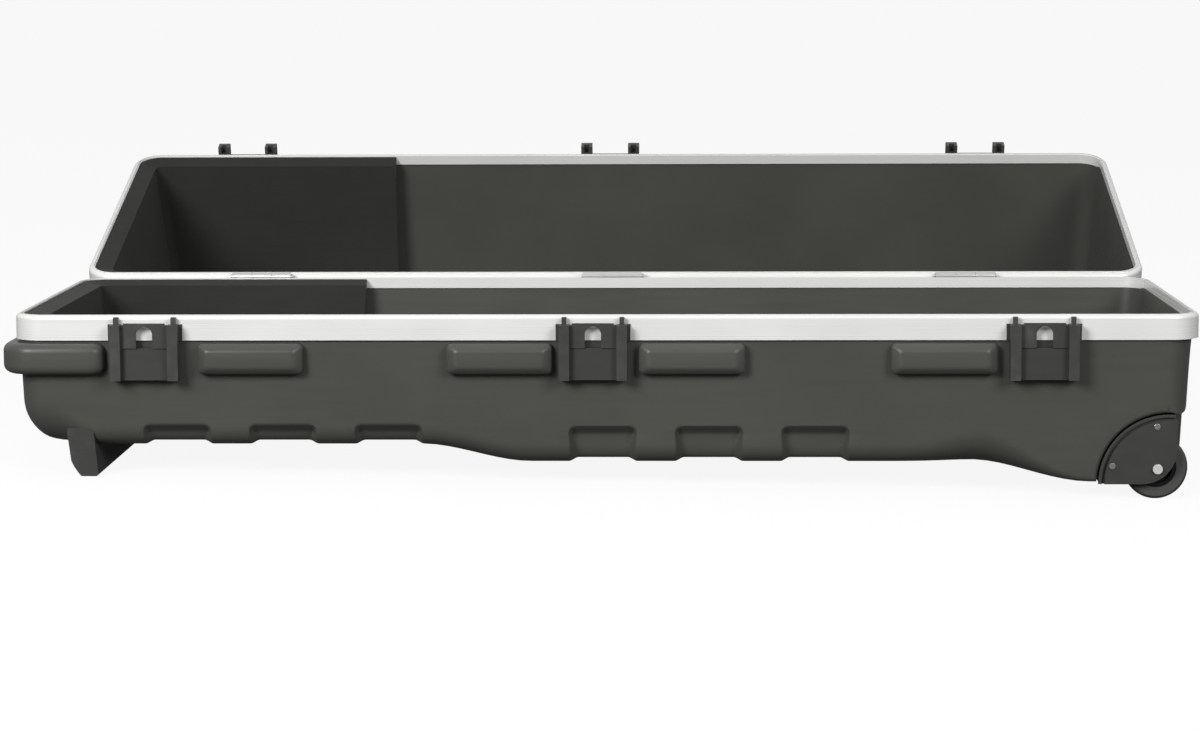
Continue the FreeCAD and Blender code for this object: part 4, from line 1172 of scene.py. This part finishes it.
@dataclass(frozen=True)
class Hardware:
    """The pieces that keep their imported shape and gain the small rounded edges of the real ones."""

    shells: dict[Half, Shell]
    soft: EasedEdges = EasedEdges((0.5 * MM, 2))
    slim: EasedEdges = EasedEdges((0.25 * MM, 2))
    foam: EasedEdges = EasedEdges((3 * MM, 3))
    foam_overrun: float = 60 * MM
    foot_bulge: float = 58 * MM
    foot_rise: float = 39.6 * MM
    foot_clear: float = 20 * MM
    foot_sides: int = 160

    def build(self) -> None:
        """Make every eased piece."""
        soft, slim = self.soft.copies, self.slim.copies
        for half, shell in self.shells.items():
            name = half.name.lower()
            self.slim.piece(f"{name}_valance", f"{name}_rim_extrusion", Finish.RIM, "rim")
            slim("set", Finish.RIM, "rim", f"hinge_{name}_rivets")
            space = shell.inner_form(self.foam_overrun)
            block = f"{name}_foam_block"
            foam = self.foam.piece(f"{name}_foam_liner", block, Finish.FOAM, "foam", space)
        for side in SIDES:
            latch = [f"latch_{part}_{side}" for part in ("keeper", "guard", "lever")]
            hinge = [f"hinge_{part}_{side}" for part in ("base_leaf", "lid_leaf", "pin")]
            soft("moulding", Finish.LATCH, "latch", *latch)
            soft("moulding", Finish.LATCH, "trigger", f"latch_trigger_{side}")
            slim("rod", Finish.STEEL, "screw", f"latch_pin_{side}")
            slim("plated", Finish.STEEL, "hinge", *hinge)
        for end in ENDS:
            inner = [f"wheel_{part}_{end}" for part in ("bearings", "axle_bolt", "spacers")]
            soft("rubber", Finish.TYRE, "tyre", f"wheel_tyre_{end}")
            soft("moulding", Finish.HUB, "hub", f"wheel_hub_{end}")
            soft("moulding", Finish.TRIM, "trim", f"wheel_side_plate_{end}", f"wheel_housing_{end}")
            slim("steel", Finish.BOLT, "screw", *inner)
        slim("set", Finish.BLACKED, "screw", "foot_screws", "keeper_screws")
        slim("set", Finish.STEEL, "screw", "side_plate_screws")
        self.foot()
        for handle in ("carry_handle", "pull_handle"):
            slim("rod", Finish.STEEL, "wire", f"{handle}_bail")
            soft("rubber", Finish.GRIP, "grip", f"{handle}_grip")
            pair = f"{handle}_bracket_pair"
            self.soft.piece(f"{handle}_brackets", pair, Finish.TRIM, "trim")

    def foot(self) -> None:
        """Make the foot, trimmed to a cylinder that gives its outer side the bulge."""
        low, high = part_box("foot_runner")
        clear = self.foot_clear
        start = Vector((low.x + self.foot_bulge, low.y - clear, low.z + self.foot_rise))
        run = Vector((0, high.y - low.y + 2 * clear, 0))
        middle = Matrix.Translation(start + run.normalized() * run.length / 2)
        turn = Vector((0, 0, 1)).rotation_difference(run).to_matrix().to_4x4()
        bulge = bmesh.new()
        bmesh.ops.create_cone(
            bulge, cap_ends=True, segments=self.foot_sides, radius1=self.foot_bulge,
            radius2=self.foot_bulge, depth=run.length, matrix=middle @ turn,
        )
        self.soft.piece("foot_runner", "foot_runner_moulding", Finish.TRIM, "trim", bulge)


# ---- setting


@dataclass(frozen=True)
class Panel:
    """One square light that looks at the case."""

    name: str
    spot: Triple
    size: float
    power: float
    aim: Triple = (0, 0, 0.15)

    def hang(self) -> None:
        """Put the light in the scene."""
        data = bpy.data.lights.new(self.name, "AREA")
        data.size = self.size
        data.energy = self.power
        look = Vector(self.aim) - Vector(self.spot)
        turn = look.to_track_quat("-Z", "Y").to_matrix().to_4x4()
        linked(self.name, data).matrix_world = Matrix.Translation(self.spot) @ turn


@dataclass(frozen=True)
class FloorPaint(Surface):
    """A pale matt floor that the camera sees as white where it is lit."""

    glow: float
    gloss: float

    def dress(self, nodes: Nodes, shader: Node) -> None:
        """Give the floor its own light for the rays that show the background."""
        nodes.fill(shader, {
            "Base Color": self.shade(),
            "Roughness": self.roughness,
            "Specular IOR Level": 0.0,
            "Emission Color": WHITE,
            "Emission Strength": nodes.background_rays(self.glow, self.gloss),
        })


@dataclass(frozen=True)
class Studio:
    """The pale floor, the soft light and the camera."""

    plan: CasePlan
    lens: float = 96.944
    sensor: float = 36.0
    far_clip: float = 500.0
    eye: Triple = (86.527 * MM, -3497.768 * MM, 376.658 * MM)
    yaw: float = 0.026025734
    pitch: float = 0.123101105
    roll: float = -0.003599879
    fill: float = 0.26
    room: Pair = (0.15, 0.85)
    lean: Pair = (0.8, 0.3)
    lean_range: Pair = (-0.3, 0.7)
    floor_side: float = 400.0
    floor_gap: float = 0.05 * MM
    paint: FloorPaint = FloorPaint("floor_paint", (0.10, 0.10, 0.10), 0.9, 0.91, 0.06)
    panels: tuple[Panel, ...] = (
        Panel("left_panel", (-2.2, -3.5, 1.9), 1.5, 146.0),
        Panel("right_panel", (2.4, -3.4, 1.9), 1.5, 82.0),
        Panel("top_panel", (-0.3, -0.3, 3.4), 2.2, 4.0),
    )

    def camera(self) -> None:
        """Stand the camera in front of the latches, a little above the rims."""
        data = bpy.data.cameras.new("camera")
        data.sensor_width = self.sensor
        data.lens = self.lens
        data.clip_end = self.far_clip
        level = Matrix.Rotation(pi / 2 - self.pitch, 4, "X")
        turn = Matrix.Rotation(self.yaw, 4, "Z") @ level @ Matrix.Rotation(self.roll, 4, "Z")
        camera = linked("camera", data)
        camera.matrix_world = Matrix.Translation(self.plan.corner + Vector(self.eye)) @ turn
        bpy.context.scene.camera = camera

    def floor(self) -> None:
        """Lay a pale floor that touches the wheels and the foot."""
        foot, foot_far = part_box("foot_runner")
        tyre, tyre_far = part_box("wheel_tyre_front")
        axle_x = (tyre.x + tyre_far.x) / 2
        foot_x = (foot.x + foot_far.x) / 2
        rise = (foot.z - tyre.z) / (foot_x - axle_x)
        bm = plate(self.floor_side, self.floor_side)
        for vert in bm.verts:
            vert.co.z = tyre.z + (vert.co.x - axle_x) * rise - self.floor_gap
        floor = shown(bm, "floor")
        floor.data.materials.append(self.paint.material())
        floor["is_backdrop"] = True

    def lights(self) -> None:
        """Light the case softly from above and to the left."""
        world = bpy.data.worlds.new("studio")
        bpy.context.scene.world = world
        world.use_nodes = True
        nodes = Nodes(world.node_tree)
        way = nodes.add("ShaderNodeTexCoord").outputs["Generated"]
        parts = nodes.add("ShaderNodeSeparateXYZ", {0: way})
        upward = nodes.maths("MULTIPLY", parts.outputs["Z"], self.lean[0])
        across = nodes.maths("MULTIPLY", parts.outputs["Y"], self.lean[1])
        lean = nodes.maths("ADD", upward, across)
        room = nodes.spread(lean, *self.lean_range, *self.room)
        gloss = nodes.add("ShaderNodeLightPath").outputs["Is Glossy Ray"]
        contrast = nodes.maths("MULTIPLY", gloss, nodes.maths("SUBTRACT", room, self.fill))
        lit = nodes.maths("ADD", contrast, self.fill)
        strength = nodes.maths("MAXIMUM", lit, nodes.background_rays(1.0, 0.0))
        sky = world.node_tree.nodes["Background"]
        nodes.fill(sky, {"Color": WHITE, "Strength": strength})
        for panel in self.panels:
            panel.hang()


def main() -> None:
    """Build the case and its setting."""
    logging.basicConfig(level=logging.INFO, format="%(name)s: %(message)s")
    bpy.context.scene.view_settings.view_transform = "Standard"
    plan = CasePlan.measured()
    studio = Studio(plan)
    studio.camera()
    studio.floor()
    studio.lights()
    base = DepthProfile(head=146 * MM, middle=165.5 * MM, end=186 * MM)
    lid = DepthProfile(head=194 * MM, middle=211 * MM, end=224.5 * MM)
    shells = {
        Half.BASE: Shell(plan, Half.BASE, base, Flutes()),
        Half.LID: Shell(plan, Half.LID, lid, Flutes(tops=(171 * MM, 178 * MM))),
    }
    for shell in shells.values():
        shell.build()
    Hardware(shells).build()
    for end in ENDS:
        WheelFlange(plan).build(end)


def record_sizes() -> None:
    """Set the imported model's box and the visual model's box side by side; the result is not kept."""
    boxes = {"cad": CAD_BOX, "visual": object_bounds()}
    {name: [list(low), list(high)] for name, (low, high) in boxes.items()}


if __name__ == "__main__":
    main()
    record_sizes()
